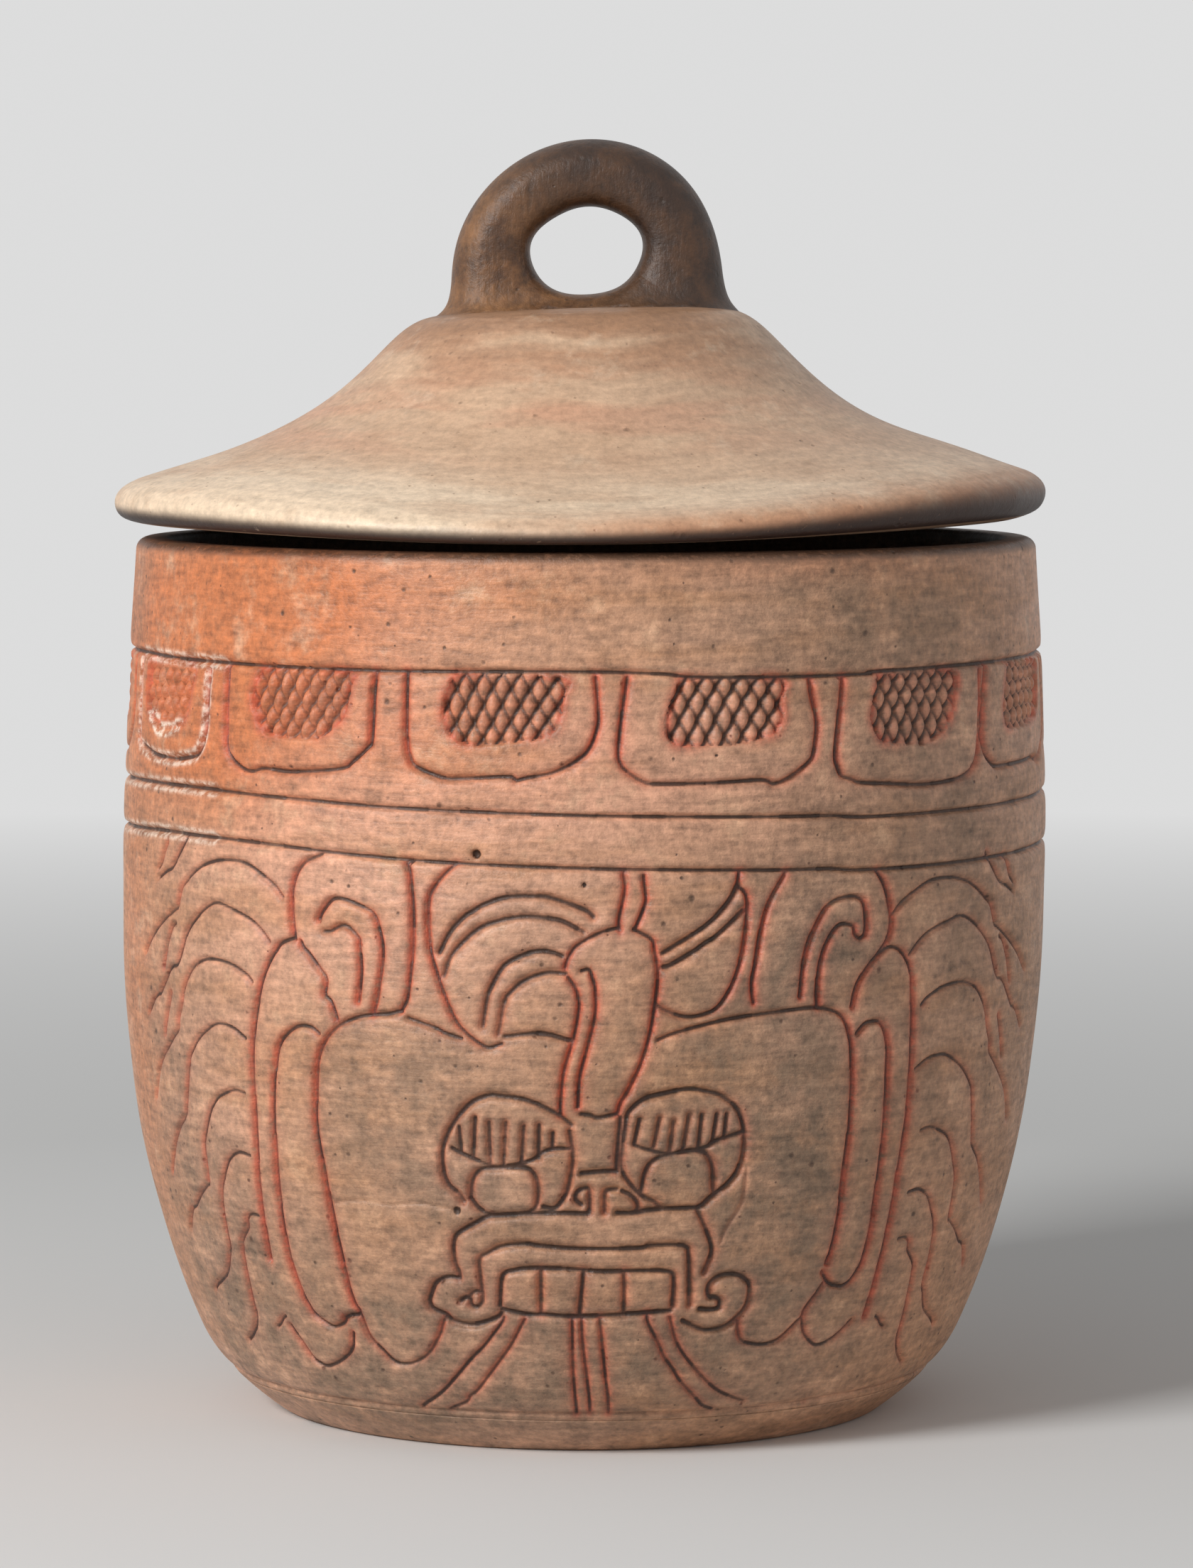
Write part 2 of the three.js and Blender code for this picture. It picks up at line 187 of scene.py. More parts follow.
def burnished_slip(name, stretch, grit, rub, ground, layers):
    """Slip rubbed with a pebble while leather hard: satin, IOR 1.5, roughness 0.42 to 0.57. The pebble
    leaves streaks 1 to 2 mm wide and 5 to 10 mm long, grit that burnt out leaves pores of 1 mm, and the
    fire leaves clouds. A layer is the attribute that limits it, the pattern that breaks it up, where
    the pattern (or without one the attribute) starts and is full, its strength and its colour."""
    slip = new_material(name)
    place = add(slip, "ShaderNodeTexCoord", "Object")
    path = add(slip, "ShaderNodeAttribute", "Fac", attribute_name="climb")
    climb = add(slip, "ShaderNodeCombineXYZ", "Vector", {"Z": path})
    sides = {"Vector": place, "Vector_001": stretch, "Vector_002": climb}
    rubbed = add(slip, "ShaderNodeVectorMath", "Vector", sides, operation="MULTIPLY_ADD")
    patterns = {}
    for pattern, where, per_metre, detail, rough in (
        ("broad", place, 18, 5, 0.6),
        ("bands", rubbed, 20, 4, 0.55),
        ("blotch", place, 90, 7, 0.68),
        ("streaks", rubbed, 120, 4, 0.6),
        ("fine", place, 520, 4, 0.7),
    ):
        noise = {"Vector": where, "Scale": per_metre, "Detail": detail, "Roughness": rough}
        patterns[pattern] = add(slip, "ShaderNodeTexNoise", "Fac", noise)
    cells = add(slip, "ShaderNodeTexVoronoi", "Distance", {"Vector": place, "Scale": 260})
    wide = {"Value": patterns["blotch"], "From Min": 0.4, "From Max": 0.72, "To Max": 0.3}
    pore_size = add(slip, "ShaderNodeMapRange", "Result", wide)
    pit = {"Value": cells, "From Min": pore_size, "From Max": 0.0}
    patterns["pores"] = add(slip, "ShaderNodeMapRange", "Result", pit)

    colour = hex_colour(ground)
    for limit, pattern, start, full, strength, code in layers:
        held = add(slip, "ShaderNodeAttribute", "Fac", attribute_name=limit) if limit else 1.0
        from_what = patterns[pattern] if pattern else held
        spread = {"Value": from_what, "From Min": start, "From Max": full, "To Max": strength}
        share = add(slip, "ShaderNodeMapRange", "Result", spread)
        if limit and pattern:
            both = {"Value": share, "Value_001": held}
            share = add(slip, "ShaderNodeMath", "Value", both, operation="MULTIPLY")
        ends = {"Factor_Float": share, "A_Color": colour, "B_Color": hex_colour(code)}
        colour = add(slip, "ShaderNodeMix", "Result_Color", ends, data_type="RGBA")
    grain = {"Value": patterns["fine"], "Value_001": grit, "Value_002": 1 - (grit + rub) / 2}
    tone = add(slip, "ShaderNodeMath", "Value", grain, operation="MULTIPLY_ADD")
    streak = {"Value": patterns["streaks"], "Value_001": rub, "Value_002": tone}
    tone = add(slip, "ShaderNodeMath", "Value", streak, operation="MULTIPLY_ADD")
    both = {"Factor_Float": 1.0, "A_Color": colour, "B_Color": tone}
    colour = add(slip, "ShaderNodeMix", "Result_Color", both, data_type="RGBA", blend_type="MULTIPLY")

    relief = {"Value": patterns["pores"], "Value_001": -1.2, "Value_002": tone}
    height = add(slip, "ShaderNodeMath", "Value", relief, operation="MULTIPLY_ADD")
    bump = add(slip, "ShaderNodeBump", "Normal", {"Height": height, "Strength": 0.5, "Distance": 0.0004})
    satin = {"Value": patterns["blotch"], "From Min": 0.3, "From Max": 0.7, "To Min": 0.42, "To Max": 0.57}
    dull = add(slip, "ShaderNodeMapRange", "Result", satin)
    look = {"Base Color": colour, "Roughness": dull, "IOR": 1.5, "Normal": bump}
    shader = add(slip, "ShaderNodeBsdfPrincipled", "BSDF", look)
    add(slip, "ShaderNodeOutputMaterial", None, {"Surface": shader})
    return slip


ROUND = 200 * math.pi  # a turn, as mm at a radius of 100 mm
FRONT_REACH = 120.0  # mm each way from the front in which the carving is seen square on
FINE_STEP, COARSE_STEP = 0.4, 0.75

front_columns = np.linspace(-FRONT_REACH, FRONT_REACH, round(2 * FRONT_REACH / FINE_STEP), endpoint=False)
back_span = ROUND - 2 * FRONT_REACH
back_columns = FRONT_REACH + np.linspace(0, back_span, round(back_span / COARSE_STEP), endpoint=False)
around = np.concatenate([front_columns, back_columns])
turns = around / 100

# Clouds that the fire left, the smoke ones partly painted shade: middle (around, height), reach
# each way in mm, and strength
CLOUDS = {
    "orange": [
        (-118, 172, 58, 26, 1.0), (-66, 180, 32, 16, 0.85), (-92, 146, 30, 16, 0.8), (-128, 95, 18, 60, 0.6),
        (-34, 150, 34, 14, 0.45), (-20, 182, 20, 8, 0.35), (50, 187, 40, 5, 0.4), (240, 150, 60, 40, 0.7),
        (345, 60, 60, 50, 0.35),
    ],
    # Smoke clouds, partly painted shade that darkens the wall low down and on its right
    "smoke_and_shade": [
        (30, 76, 34, 30, 0.95), (-40, 78, 24, 24, 0.7), (-20, 56, 30, 16, 0.55), (48, 112, 20, 16, 0.8),
        (55, 45, 26, 26, 0.8), (48, 178, 50, 16, 0.5), (95, 120, 40, 60, 0.6), (170, 70, 60, 45, 0.5),
        (300, 110, 50, 50, 0.55), (-134, 178, 10, 12, 0.6), (420, 90, 40, 60, 0.4), (-80, 35, 26, 26, 0.5),
        (-12, 112, 16, 10, 0.35), (0, 22, 80, 16, 0.6), (-60, 14, 40, 12, 0.5),
        (-98, 70, 22, 60, 0.4), (-70, 24, 50, 20, 0.5), (-10, 18, 70, 18, 0.45), (-112, 60, 18, 50, 0.5),
        (70, 150, 30, 30, 0.4),
    ],
    "blush": [
        (-58, 146, 34, 24, 1.0), (0, 142, 60, 14, 0.8), (-50, 118, 30, 20, 0.8), (-88, 78, 22, 50, 0.6),
        (-8, 110, 22, 18, 0.5), (-4, 150, 14, 10, 0.6), (150, 150, 60, 30, 0.5),
    ],
}


def clouds(spots, heights):
    """How strong the clouds are, all round, at each of the heights."""
    total = np.zeros((len(heights), len(around)))
    for x, y, wide, tall, strength in spots:
        over = (around[None, :] - x + ROUND / 2) % ROUND - ROUND / 2
        total += strength * np.exp(-((over / wide) ** 2) - ((heights[:, None] - y) / tall) ** 2)
    return np.clip(total, 0, 1)


# Buff slip with orange, rosy and smoke-grey clouds of 10 to 50 mm, the grey partly painted shade, a
# soft shine, red pigment beside the cut lines and a dark line in them, partly dirt and partly painted
# shade, and a pale painted highlight on some lit rims; bare, browner clay inside, and painted shade
# on the top of the wall where the brim overhangs it
JAR_LAYERS = [
    (None, "broad", 0.4, 0.62, 0.7, "#B98864"),
    ("blush", "blotch", 0.2, 0.5, 0.85, "#D8A286"),
    (None, "bands", 0.5, 0.66, 0.45, "#B07A50"),
    ("orange", "blotch", 0.15, 0.5, 0.95, "#C47243"),
    # smoke clouds, partly painted shade
    ("smoke_and_shade", "blotch", 0.3, 0.6, 0.9, "#7F6B58"),
    (None, "blotch", 0.53, 0.68, 0.4, "#8E6A51"),
    (None, "blotch", 0.44, 0.3, 0.35, "#DDB795"),
    (None, "pores", 0.0, 0.6, 0.8, "#4A3325"),
    ("red", "fine", 0.25, 0.5, 0.85, "#C0533B"),
    # pale painted highlight on the lit rims of some cuts
    ("pale", "fine", 0.4, 0.55, 0.9, "#E6D6C4"),
    # dark in the cuts: dirt and painted shade
    ("cut", None, 0.42, 0.78, 0.9, "#27150E"),
    ("inner", None, 0, 1, 0.85, "#6B4F3A"),
    # painted shade under the brim
    ("shade_under_brim", "fine", 0.2, 0.5, 0.85, "#3A271C"),
]
jar_slip = burnished_slip("burnished_slip", (1, 1, 6), 1.6, 1.25, "#C8987A", JAR_LAYERS)

HEEL_STEP = 1.2  # mm from the resting face's edge out to the foot of the heel
HOLLOW_FROM, HOLLOW_OVER, HOLLOW_DEPTH = 4.8, 20, 0.5  # mm in from that edge, width and depth
foot_radius, top_radius = float(jar_radius(0)) - HEEL_STEP, float(jar_radius(SLAB_THICKNESS))
resting = np.linspace(3, foot_radius, 26)
heel_heights = np.concatenate([np.linspace(0, 2, 6), np.linspace(2.5, SLAB_THICKNESS, 13)])
covered = np.linspace(top_radius - 6, 3, 12)
slab_radii = np.concatenate([resting, jar_radius(heel_heights), covered])
slab_heights = np.concatenate([0 * resting, heel_heights, 0 * covered + SLAB_THICKNESS])
slab_radii[len(resting)] -= 0.5  # the edge of the resting face is rubbed round
hollow = HOLLOW_DEPTH * smooth_step((foot_radius - HOLLOW_FROM - slab_radii) / HOLLOW_OVER)
hollow[slab_heights > 0] = 0
slab_points = jar_place(
    turns[None, :],
    slab_radii[:, None] + hand_swell(turns[None, :], slab_heights[:, None]) * (slab_radii[:, None] > 60),
    (slab_heights + hollow)[:, None],
)
base_slab = turned_piece("base_slab_piece", slab_points, "caps")
for name, spots in CLOUDS.items():
    paint(base_slab, name, clouds(spots, slab_heights))
base_slab.data.materials.append(jar_slip)
base_slab.data.materials.append(scraped_clay())
on_ring = np.arange(len(base_slab.data.polygons)) // len(around)
scraped = (on_ring < len(resting) - 1) | (on_ring >= len(resting) + len(heel_heights) - 1)
base_slab.data.polygons.foreach_set("material_index", scraped.astype(np.int32))
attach(base_slab, "jar")
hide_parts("base_slab")

# Jar wall
# Coils of clay luted on the slab, thinned by scraping and burnished with a pebble while leather
# hard. The bands and the mask panel were then cut with a bone point, and red cinnabar was rubbed
# into the lines after firing. The firing left orange, buff and smoke-grey clouds; the grey clouds
# also carry painted shade low down and on the right.

# Lines cut into the wall, as (around, height) in mm. Around is measured at a radius of 100 mm,
# from the middle of the front, and grows to the right.
RING_LINES = [
    [(-125, 165.3), (-90, 165), (-45, 164.8), (-5, 165.1), (15, 164.6), (25, 163.8), (60, 163.6),
     (110, 164.4)],
    [(-150, 137.5), (-105, 138.5), (-70, 138), (-40, 137), (0, 136), (25, 135.5), (50, 135), (110, 134.3)],
    [(-150, 127), (-110, 128.5), (-75, 128.3), (-44, 126.8), (-15, 125.7), (20, 124.8), (50, 124.1),
     (110, 123.4)],
]
HEEL_LINE = [(-150, 9.8), (-60, 9.6), (0, 9.9), (60, 9.6), (110, 9.9)]
RIM_HIGHLIGHT_TO = -88  # the rings' lower rims carry a pale painted highlight from the left up to here

# Each cartouche: its middle, the framing line, and the rim of the beaded oval that hangs in it
CARTOUCHES = [
    (-109,
     [(-127, 164), (-126.5, 150), (-126, 146.5), (-123, 145.5), (-115, 144.25), (-105, 144), (-100, 144.5),
      (-96, 145.25), (-94, 146.75), (-92.5, 149), (-91.75, 152.5), (-91.5, 163)],
     [(-121, 164.5), (-121.5, 158), (-119.5, 152.75), (-114, 150.75), (-110, 150.25), (-105, 150.5),
      (-100, 152.5), (-98, 158), (-98.5, 164.5)]),
    (-65,
     [(-85, 164), (-85, 155), (-84.5, 148), (-83, 145.5), (-79.5, 143.5), (-76.5, 143), (-73, 143.75),
      (-66, 143.4), (-57.5, 144), (-52, 144.75), (-50, 146), (-46.5, 149), (-45.6, 151), (-45.4, 160),
      (-45, 164.5)],
     [(-74.5, 164.5), (-76, 161.5), (-77, 158), (-75.5, 154.5), (-74.5, 152.5), (-71.5, 150.75),
      (-65, 150.25), (-61, 150.25), (-57.5, 150.75), (-52.5, 154.5), (-51.25, 157.5), (-50.75, 161),
      (-51.5, 164.5)]),
    (-17.6,
     [(-37.9, 164.5), (-37.75, 155), (-37.5, 150), (-36.9, 147.5), (-35.5, 145.5), (-30, 143.5),
      (-26, 143.25), (-18, 143.75), (-15, 143.75), (-14, 143.1), (-12, 143.6), (-6, 144.9), (0, 148.5),
      (2.35, 153.5), (2.6, 157), (2, 164)],
     [(-27.5, 164.5), (-28.75, 162), (-29.75, 158.5), (-29.75, 156), (-29, 153.5), (-27.5, 151.5),
      (-25, 150.25), (-21, 150), (-15, 150.6), (-9, 151.5), (-5.5, 154.25), (-4.4, 160), (-5, 164)]),
    (28.3,
     [(8.5, 163.75), (7.4, 156), (6.75, 149), (7.25, 146.5), (8.5, 145), (12, 142.75), (15, 142.35),
      (27, 142.4), (37, 142.75), (40, 141.9), (44, 143.5), (47.5, 146), (48.75, 148), (49.6, 154),
      (48.4, 160), (48, 163)],
     [(19.3, 164), (17, 157.5), (16.5, 155), (16.6, 152.5), (17.5, 151), (19.5, 150), (27, 149.75),
      (33, 150.25), (39, 151.75), (40.75, 153.25), (41.75, 155.5), (41.5, 159), (40.7, 163.5)]),
    (76,
     [(55.9, 163), (55, 155), (54.1, 147.5), (54.6, 145), (55.75, 143), (58, 142.25), (60.5, 141.4),
      (67.5, 140.9), (79, 140.15), (90, 140.9), (95, 143), (97, 147), (98, 155), (98, 163)],
     [(64.6, 163.3), (62.9, 156), (63.1, 153.5), (65, 150.25), (68, 149.25), (76, 148.4), (80, 148.75),
      (85, 151.5), (88, 156), (87.6, 163.3)]),
]
HIDDEN_CARTOUCHES = 9

EYES = [
    [(-2, 72.75), (-5, 75), (-11, 77.75), (-17, 78.6), (-19.5, 78.6), (-23.5, 76.75), (-27.5, 72),
     (-29.5, 67.5), (-29.75, 64), (-29.5, 61.5), (-28.5, 59.5), (-26.75, 58), (-25.5, 56.25)],
    [(-2.4, 71.5), (-1.6, 66), (-2.5, 60), (-3.5, 57.5), (-5.5, 55.25), (-8, 55.5)],
    [(9.5, 74), (10, 75.5), (13, 78), (17.5, 79.1), (22.5, 79.9), (27.5, 79), (30, 78), (33.5, 75),
     (35.25, 69), (34.5, 63), (32, 59.5), (28.5, 57), (26.5, 55.25), (24.5, 54.9), (20, 54.9),
     (17.5, 55.25), (16, 56.5), (13, 58), (9.75, 61.5), (8.75, 64), (8.75, 67.5), (9.5, 74)],
]
PUPILS = [
    [(-23.9, 57.1), (-23.5, 60), (-22.7, 61.9), (-21.3, 63.1), (-19, 63.5), (-12.3, 63.7), (-10.3, 62.9),
     (-9.2, 60.8), (-9.1, 57.5), (-9.9, 55.2), (-12.5, 54.1), (-19.4, 53.7), (-22.3, 55), (-23.9, 57.1)],
    [(13, 58.25), (13.75, 62.5), (15, 64.75), (17.5, 66), (23.5, 67), (26.5, 66.5), (28, 65), (28.75, 62.5),
     (28.9, 59.5), (29.25, 57.75)],
]
LASHES = [
    [(-25.8, 72), (-25.5, 66.8)], [(-22.3, 74), (-22.9, 65.6)], [(-19.4, 73), (-19.2, 64.3)],
    [(-15.8, 73), (-16.4, 64.3)], [(-12, 72.4), (-12.6, 64.6)], [(-8.8, 72.7), (-8.9, 65.8)],
    [(-5.9, 71), (-6, 67.8)], [(12.25, 73.75), (11.25, 68.75)], [(16.5, 74), (15.4, 68)],
    [(19.5, 73.25), (18.9, 67)], [(22.75, 74.5), (21.75, 67)], [(25.5, 74.5), (25.1, 67.5)],
    [(28.75, 74.5), (28.1, 68.75)], [(30.9, 74.5), (30.6, 69.25)],
]
LID_EDGES = [
    [(-27.5, 67.5), (-25.5, 66.5), (-19.1, 64), (-16.5, 64), (-13, 64.5), (-10, 65.5), (-8, 67),
     (-5.5, 67.75), (-2.5, 67.75)],
    [(11.25, 68.5), (14, 67.5), (19, 66.5), (26.5, 67.5), (28.5, 68.75), (34.75, 70.5)],
]
NOSE = [
    [(0, 75), (2, 74.75), (3.5, 74.25), (7.5, 75)], [(8.25, 74.25), (7.75, 67.5), (7.6, 63)],
    [(0.25, 62.6), (5.5, 63), (7.75, 62.9)],
    [(-3.5, 54.2), (1.75, 54.1), (2, 54.5), (1.9, 59), (0.5, 59.3), (-0.8, 58.5), (-1, 57), (0.2, 56)],
    [(5.25, 54.5), (5.25, 58), (5.75, 59), (7.75, 59.2)],
    [(8, 54.2), (11.25, 54.1), (12.5, 55), (12.2, 56.5), (11, 57.8), (9, 58.8)],
]
MOUTH = [
    [(-27.75, 39.9), (-27.75, 41), (-28.5, 43), (-28.6, 46), (-28, 48.5), (-26.25, 50), (-20.5, 53.1),
     (-19, 53.4), (-12, 53.9), (-3.5, 54.2)],
    [(11.25, 54.1), (17, 54.8), (24.5, 54.9), (25.5, 54.5), (26.5, 53), (28.5, 49), (29.5, 46.5),
     (29.5, 44.5), (28.25, 41)],
    [(-22.75, 37), (-22.85, 40.5), (-22.75, 44), (-21, 45.25), (-17.5, 46.9), (-12, 47.5), (-9, 47.1),
     (0, 46.6), (12.5, 46.6), (15.5, 47.1), (21, 47.1), (23.75, 46.6), (24.5, 44.5), (25.5, 34)],
    [(-18.75, 34), (-18, 39.5), (-17, 41.25), (-15, 41.75), (-12, 42.25), (-3, 42.25), (4.5, 41.75),
     (15, 41.75), (19.5, 41.5), (21.25, 40.5), (21.5, 37), (21.5, 34)],
    [(-18.25, 33.25), (-12.5, 32.25), (-9.25, 32.25)], [(-9, 32.3), (0, 31.9), (21, 32.9)],
    [(-8.9, 41.8), (-9.2, 32.5)], [(0.75, 41.8), (-0.25, 32)], [(9.9, 41.8), (10.1, 33)],
]
SCROLLS = [
    [(-27.8, 39.7), (-30, 39.9), (-32.1, 39.4), (-33.9, 38.2), (-35.1, 36.2), (-36, 34.3), (-35.3, 32.7),
     (-32.1, 31.4), (-30.5, 30.2), (-25.6, 29.6), (-20.1, 31.2), (-18.6, 32.4)],
    [(-22.75, 38.3), (-22.7, 36.1), (-23, 34.7), (-23.8, 33.8), (-24.8, 33.5), (-25.7, 34.1), (-25.8, 35.2),
     (-26.9, 35.5), (-28.1, 34.7)],
    [(-25.7, 36), (-25, 36.7), (-23.9, 37), (-22.9, 36.7)],
    [(28.2, 33), (31.1, 32.7), (32.8, 33.1), (32.9, 34.6), (31.8, 35.3), (30.1, 35.7), (29.7, 37.7),
     (30.6, 39.1), (32.3, 40), (34.7, 40.3), (36.9, 39.9), (38.8, 38.8), (39.9, 37.2), (39.5, 32.8),
     (35.7, 29.1), (31, 28.2), (28.5, 28.7), (24.2, 30.6)],
]
SNOUT = [
    [(-3.6, 105.1), (-3.25, 106.5), (-2.25, 108.5), (-0.75, 110), (3.5, 112.25), (7.25, 113.25)],
    [(10.25, 112.9), (14, 110.75), (14.6, 108.5), (15.4, 103), (14.25, 93), (12.25, 85.5), (9.5, 79.5),
     (8.25, 77.5), (7.5, 75)],
    [(8, 124.25), (8.4, 121), (7.25, 115), (7.4, 112.75)],
    [(12.15, 123.75), (12.5, 121), (12.6, 118.25), (10.75, 113.5), (10.25, 112.9)],
]
STRAP = [
    [(-3, 103.25), (-1.5, 101), (-0.75, 98.5), (-0.75, 96), (-1.75, 90.5), (-3.6, 84), (-4.3, 77),
     (-4.2, 75)],
    [(-0.25, 104.5), (1.25, 104.75), (2, 103), (2.6, 100.5), (2.5, 94.5), (-0.1, 84), (-0.5, 81),
     (-0.7, 76.5)],
]
CRESCENTS = [
    [(-29.75, 107.75), (-27.5, 112), (-24.5, 115.25), (-22.5, 116.5), (-20.5, 117.75), (-15.5, 119.4),
     (-9, 119.6), (-6.5, 119.25), (-1.5, 117.6), (0.75, 116.6), (2, 115.5)],
    [(-28.75, 103), (-27, 107.5), (-22, 112.5), (-17, 114.6), (-11.5, 115.5), (-6, 115), (-3.5, 114.25),
     (0, 112.4)],
    [(-20.5, 93), (-19.6, 98.5), (-18.75, 101), (-16, 105.5), (-11.5, 107.85), (-8.5, 108.5), (-6, 108.15),
     (-4.25, 107.5)],
    [(-17.25, 91.25), (-16, 98), (-15, 99.75), (-12, 102.35), (-7.5, 104), (-3.5, 103.9)],
    [(-16, 90.9), (-8.5, 91.6), (-2, 90.1)], [(16.25, 107.9), (25, 113.25), (29.75, 117.75), (32, 121.5)],
    [(16.5, 105.1), (18, 105.5), (22.5, 108), (25, 109.75), (27.5, 111.25), (33.25, 116.25)],
]
LOBES = [
    [(-26, 126.1), (-27.5, 125), (-30.5, 121.75), (-32.1, 118), (-31.9, 110), (-30.4, 104), (-26.75, 95),
     (-24, 91.5), (-20.5, 89), (-18.75, 88.6), (-16.5, 89.4)],
    [(32.25, 124), (32, 121.5), (33.5, 120), (34.1, 118), (33.9, 113), (32.75, 106), (30.5, 100),
     (27.25, 96), (22, 94.75), (17.5, 96), (15.5, 97.25)],
]
HEAD = [
    [(15.5, 90.15), (20, 91.75), (30.5, 94), (43, 95.25), (50.5, 95.5), (56.5, 93.75), (59, 89.5), (60, 83),
     (60.6, 70), (60.5, 60), (60.6, 52), (60.3, 46), (59.5, 41)],
    [(-25, 90.3), (-29, 91.5), (-30, 92.1), (-36.5, 94.1)],
    [(-38, 95.4), (-39.25, 95.25), (-41, 94.75), (-47.5, 93.9), (-53, 91.5), (-56.75, 87.5), (-58.5, 82.5),
     (-59.3, 75), (-59.5, 70), (-58.5, 60), (-57, 40), (-56.7, 35), (-56, 32), (-55.25, 31), (-56, 30),
     (-58, 29.75), (-60, 29)],
]
EARS = [
    [(42.5, 123.75), (39, 118), (37.25, 112.5), (36.1, 105.5), (35.4, 102), (35.5, 99), (35.9, 97.25)],
    [(65, 123), (67.25, 119.5), (69, 113), (68, 108.5), (65.25, 105.25)],
    [(46.4, 98), (47, 104.5), (48.5, 110), (51.25, 115), (53, 116.75), (55.25, 117.75), (58, 118.1),
     (60.25, 117.75), (61.75, 116.25), (62.25, 111.5), (61.5, 109.4), (60.25, 109.5), (59.25, 110.5),
     (58.9, 112), (55.5, 112.4), (52.75, 109.5), (50.9, 104.5), (50.5, 99), (50.75, 96)],
    [(-57, 126.9), (-61.75, 124.6), (-64, 120.5), (-64.5, 115), (-63.75, 109)],
    [(-37, 125.75), (-36.25, 123.5), (-35.5, 116), (-35.5, 108.5), (-36.5, 99), (-38, 95.5)],
    [(-57.5, 113.5), (-56.75, 115), (-54.5, 117.5), (-52.5, 118), (-50, 117.6), (-45.5, 116), (-44.25, 115),
     (-43.25, 113), (-42.1, 107.5), (-43.25, 99.5), (-44.5, 94.5)],
    [(-56.25, 111), (-54.5, 111.25), (-51.25, 112.5), (-48, 110.25), (-47.6, 108.5), (-47.25, 103),
     (-48, 97)],
    [(-62.25, 108.5), (-61.5, 107.25), (-60, 106), (-57, 102.75), (-55.75, 101), (-56, 98), (-54.5, 96.5),
     (-53, 93)],
]
LOOPS = [
    [(-64, 109.25), (-67.5, 107.9), (-69, 106.25), (-71.5, 102.5), (-73.5, 98), (-76.1, 86.5), (-77.2, 70),
     (-80, 40)],
    [(-57.75, 89.75), (-59, 90.6), (-60.5, 91.1), (-62.5, 91.1), (-64.75, 90.25), (-67.75, 87.75),
     (-69.5, 83.5), (-71.5, 70), (-72.8, 48), (-73, 40), (-72, 34), (-70.5, 30.5), (-69.75, 29.25),
     (-68, 28), (-64.5, 26.65), (-61, 27.75), (-60, 29)],
    [(59.3, 95.3), (60.5, 99.8), (64, 104.3), (68, 106.8), (70, 106.9), (72, 106), (73.7, 104.2),
     (74.8, 102), (75.5, 98), (76.8, 76), (76.4, 60), (76.6, 50), (75.7, 35), (75.5, 28)],
    [(61, 89.5), (62.3, 90.8), (64, 91.7), (67.3, 91.3), (69.3, 87), (69.8, 80), (70.8, 50), (70.3, 43),
     (69.8, 40), (68.5, 37.5), (67, 36), (65, 35.5), (61.5, 36.5), (58.8, 39.2)],
]
JOWLS = [
    [(38, 30), (39, 26.5), (40.5, 25.2), (43, 24.5), (46, 24.2), (49, 24.6), (51.5, 26), (53.5, 28),
     (55.3, 29.5)],
    [(55.3, 29.5), (57, 26), (60.5, 23.3), (62.5, 22.8), (65, 23.3), (67.5, 24.5), (71.5, 27.5)],
    [(55.3, 29.5), (55.7, 31.5), (58.8, 35.5), (59.8, 37)],
    [(-32, 31.5), (-33.25, 29.5), (-34.5, 27), (-38, 22.75), (-43, 20.25), (-47.75, 20), (-51, 22.5),
     (-54, 25.5), (-55.25, 30.75)],
    [(-58.75, 25.75), (-60.25, 22.25), (-64, 19.5), (-69.75, 17.4), (-72.5, 17.75), (-74.5, 18.75),
     (-75.75, 20.5), (-79, 25.5)],
]
RAYS = [
    [(-18, 31.5), (-19, 29.75), (-23.5, 25), (-26.5, 22.5), (-35.5, 14.75), (-44, 10.25)],
    [(-13, 31.25), (-17.5, 24.5), (-26, 15.5), (-29, 13.5), (-30.5, 12), (-36, 10)],
    [(-1.9, 31.5), (-1.75, 20), (-1, 10)], [(0.25, 31.5), (0.6, 26), (2.25, 14), (2.5, 10.5)],
    [(4.5, 31.75), (6.25, 18.5), (7, 14.5), (7.5, 10)],
    [(15.5, 32.5), (16, 30.25), (19, 25.5), (20.5, 22.75), (23, 20), (25.5, 17), (31, 12.5), (33, 11),
     (36, 10)],
    [(21, 31.5), (23.5, 25.5), (28.5, 20), (35, 15), (41, 12.5), (44.5, 11.5)],
]
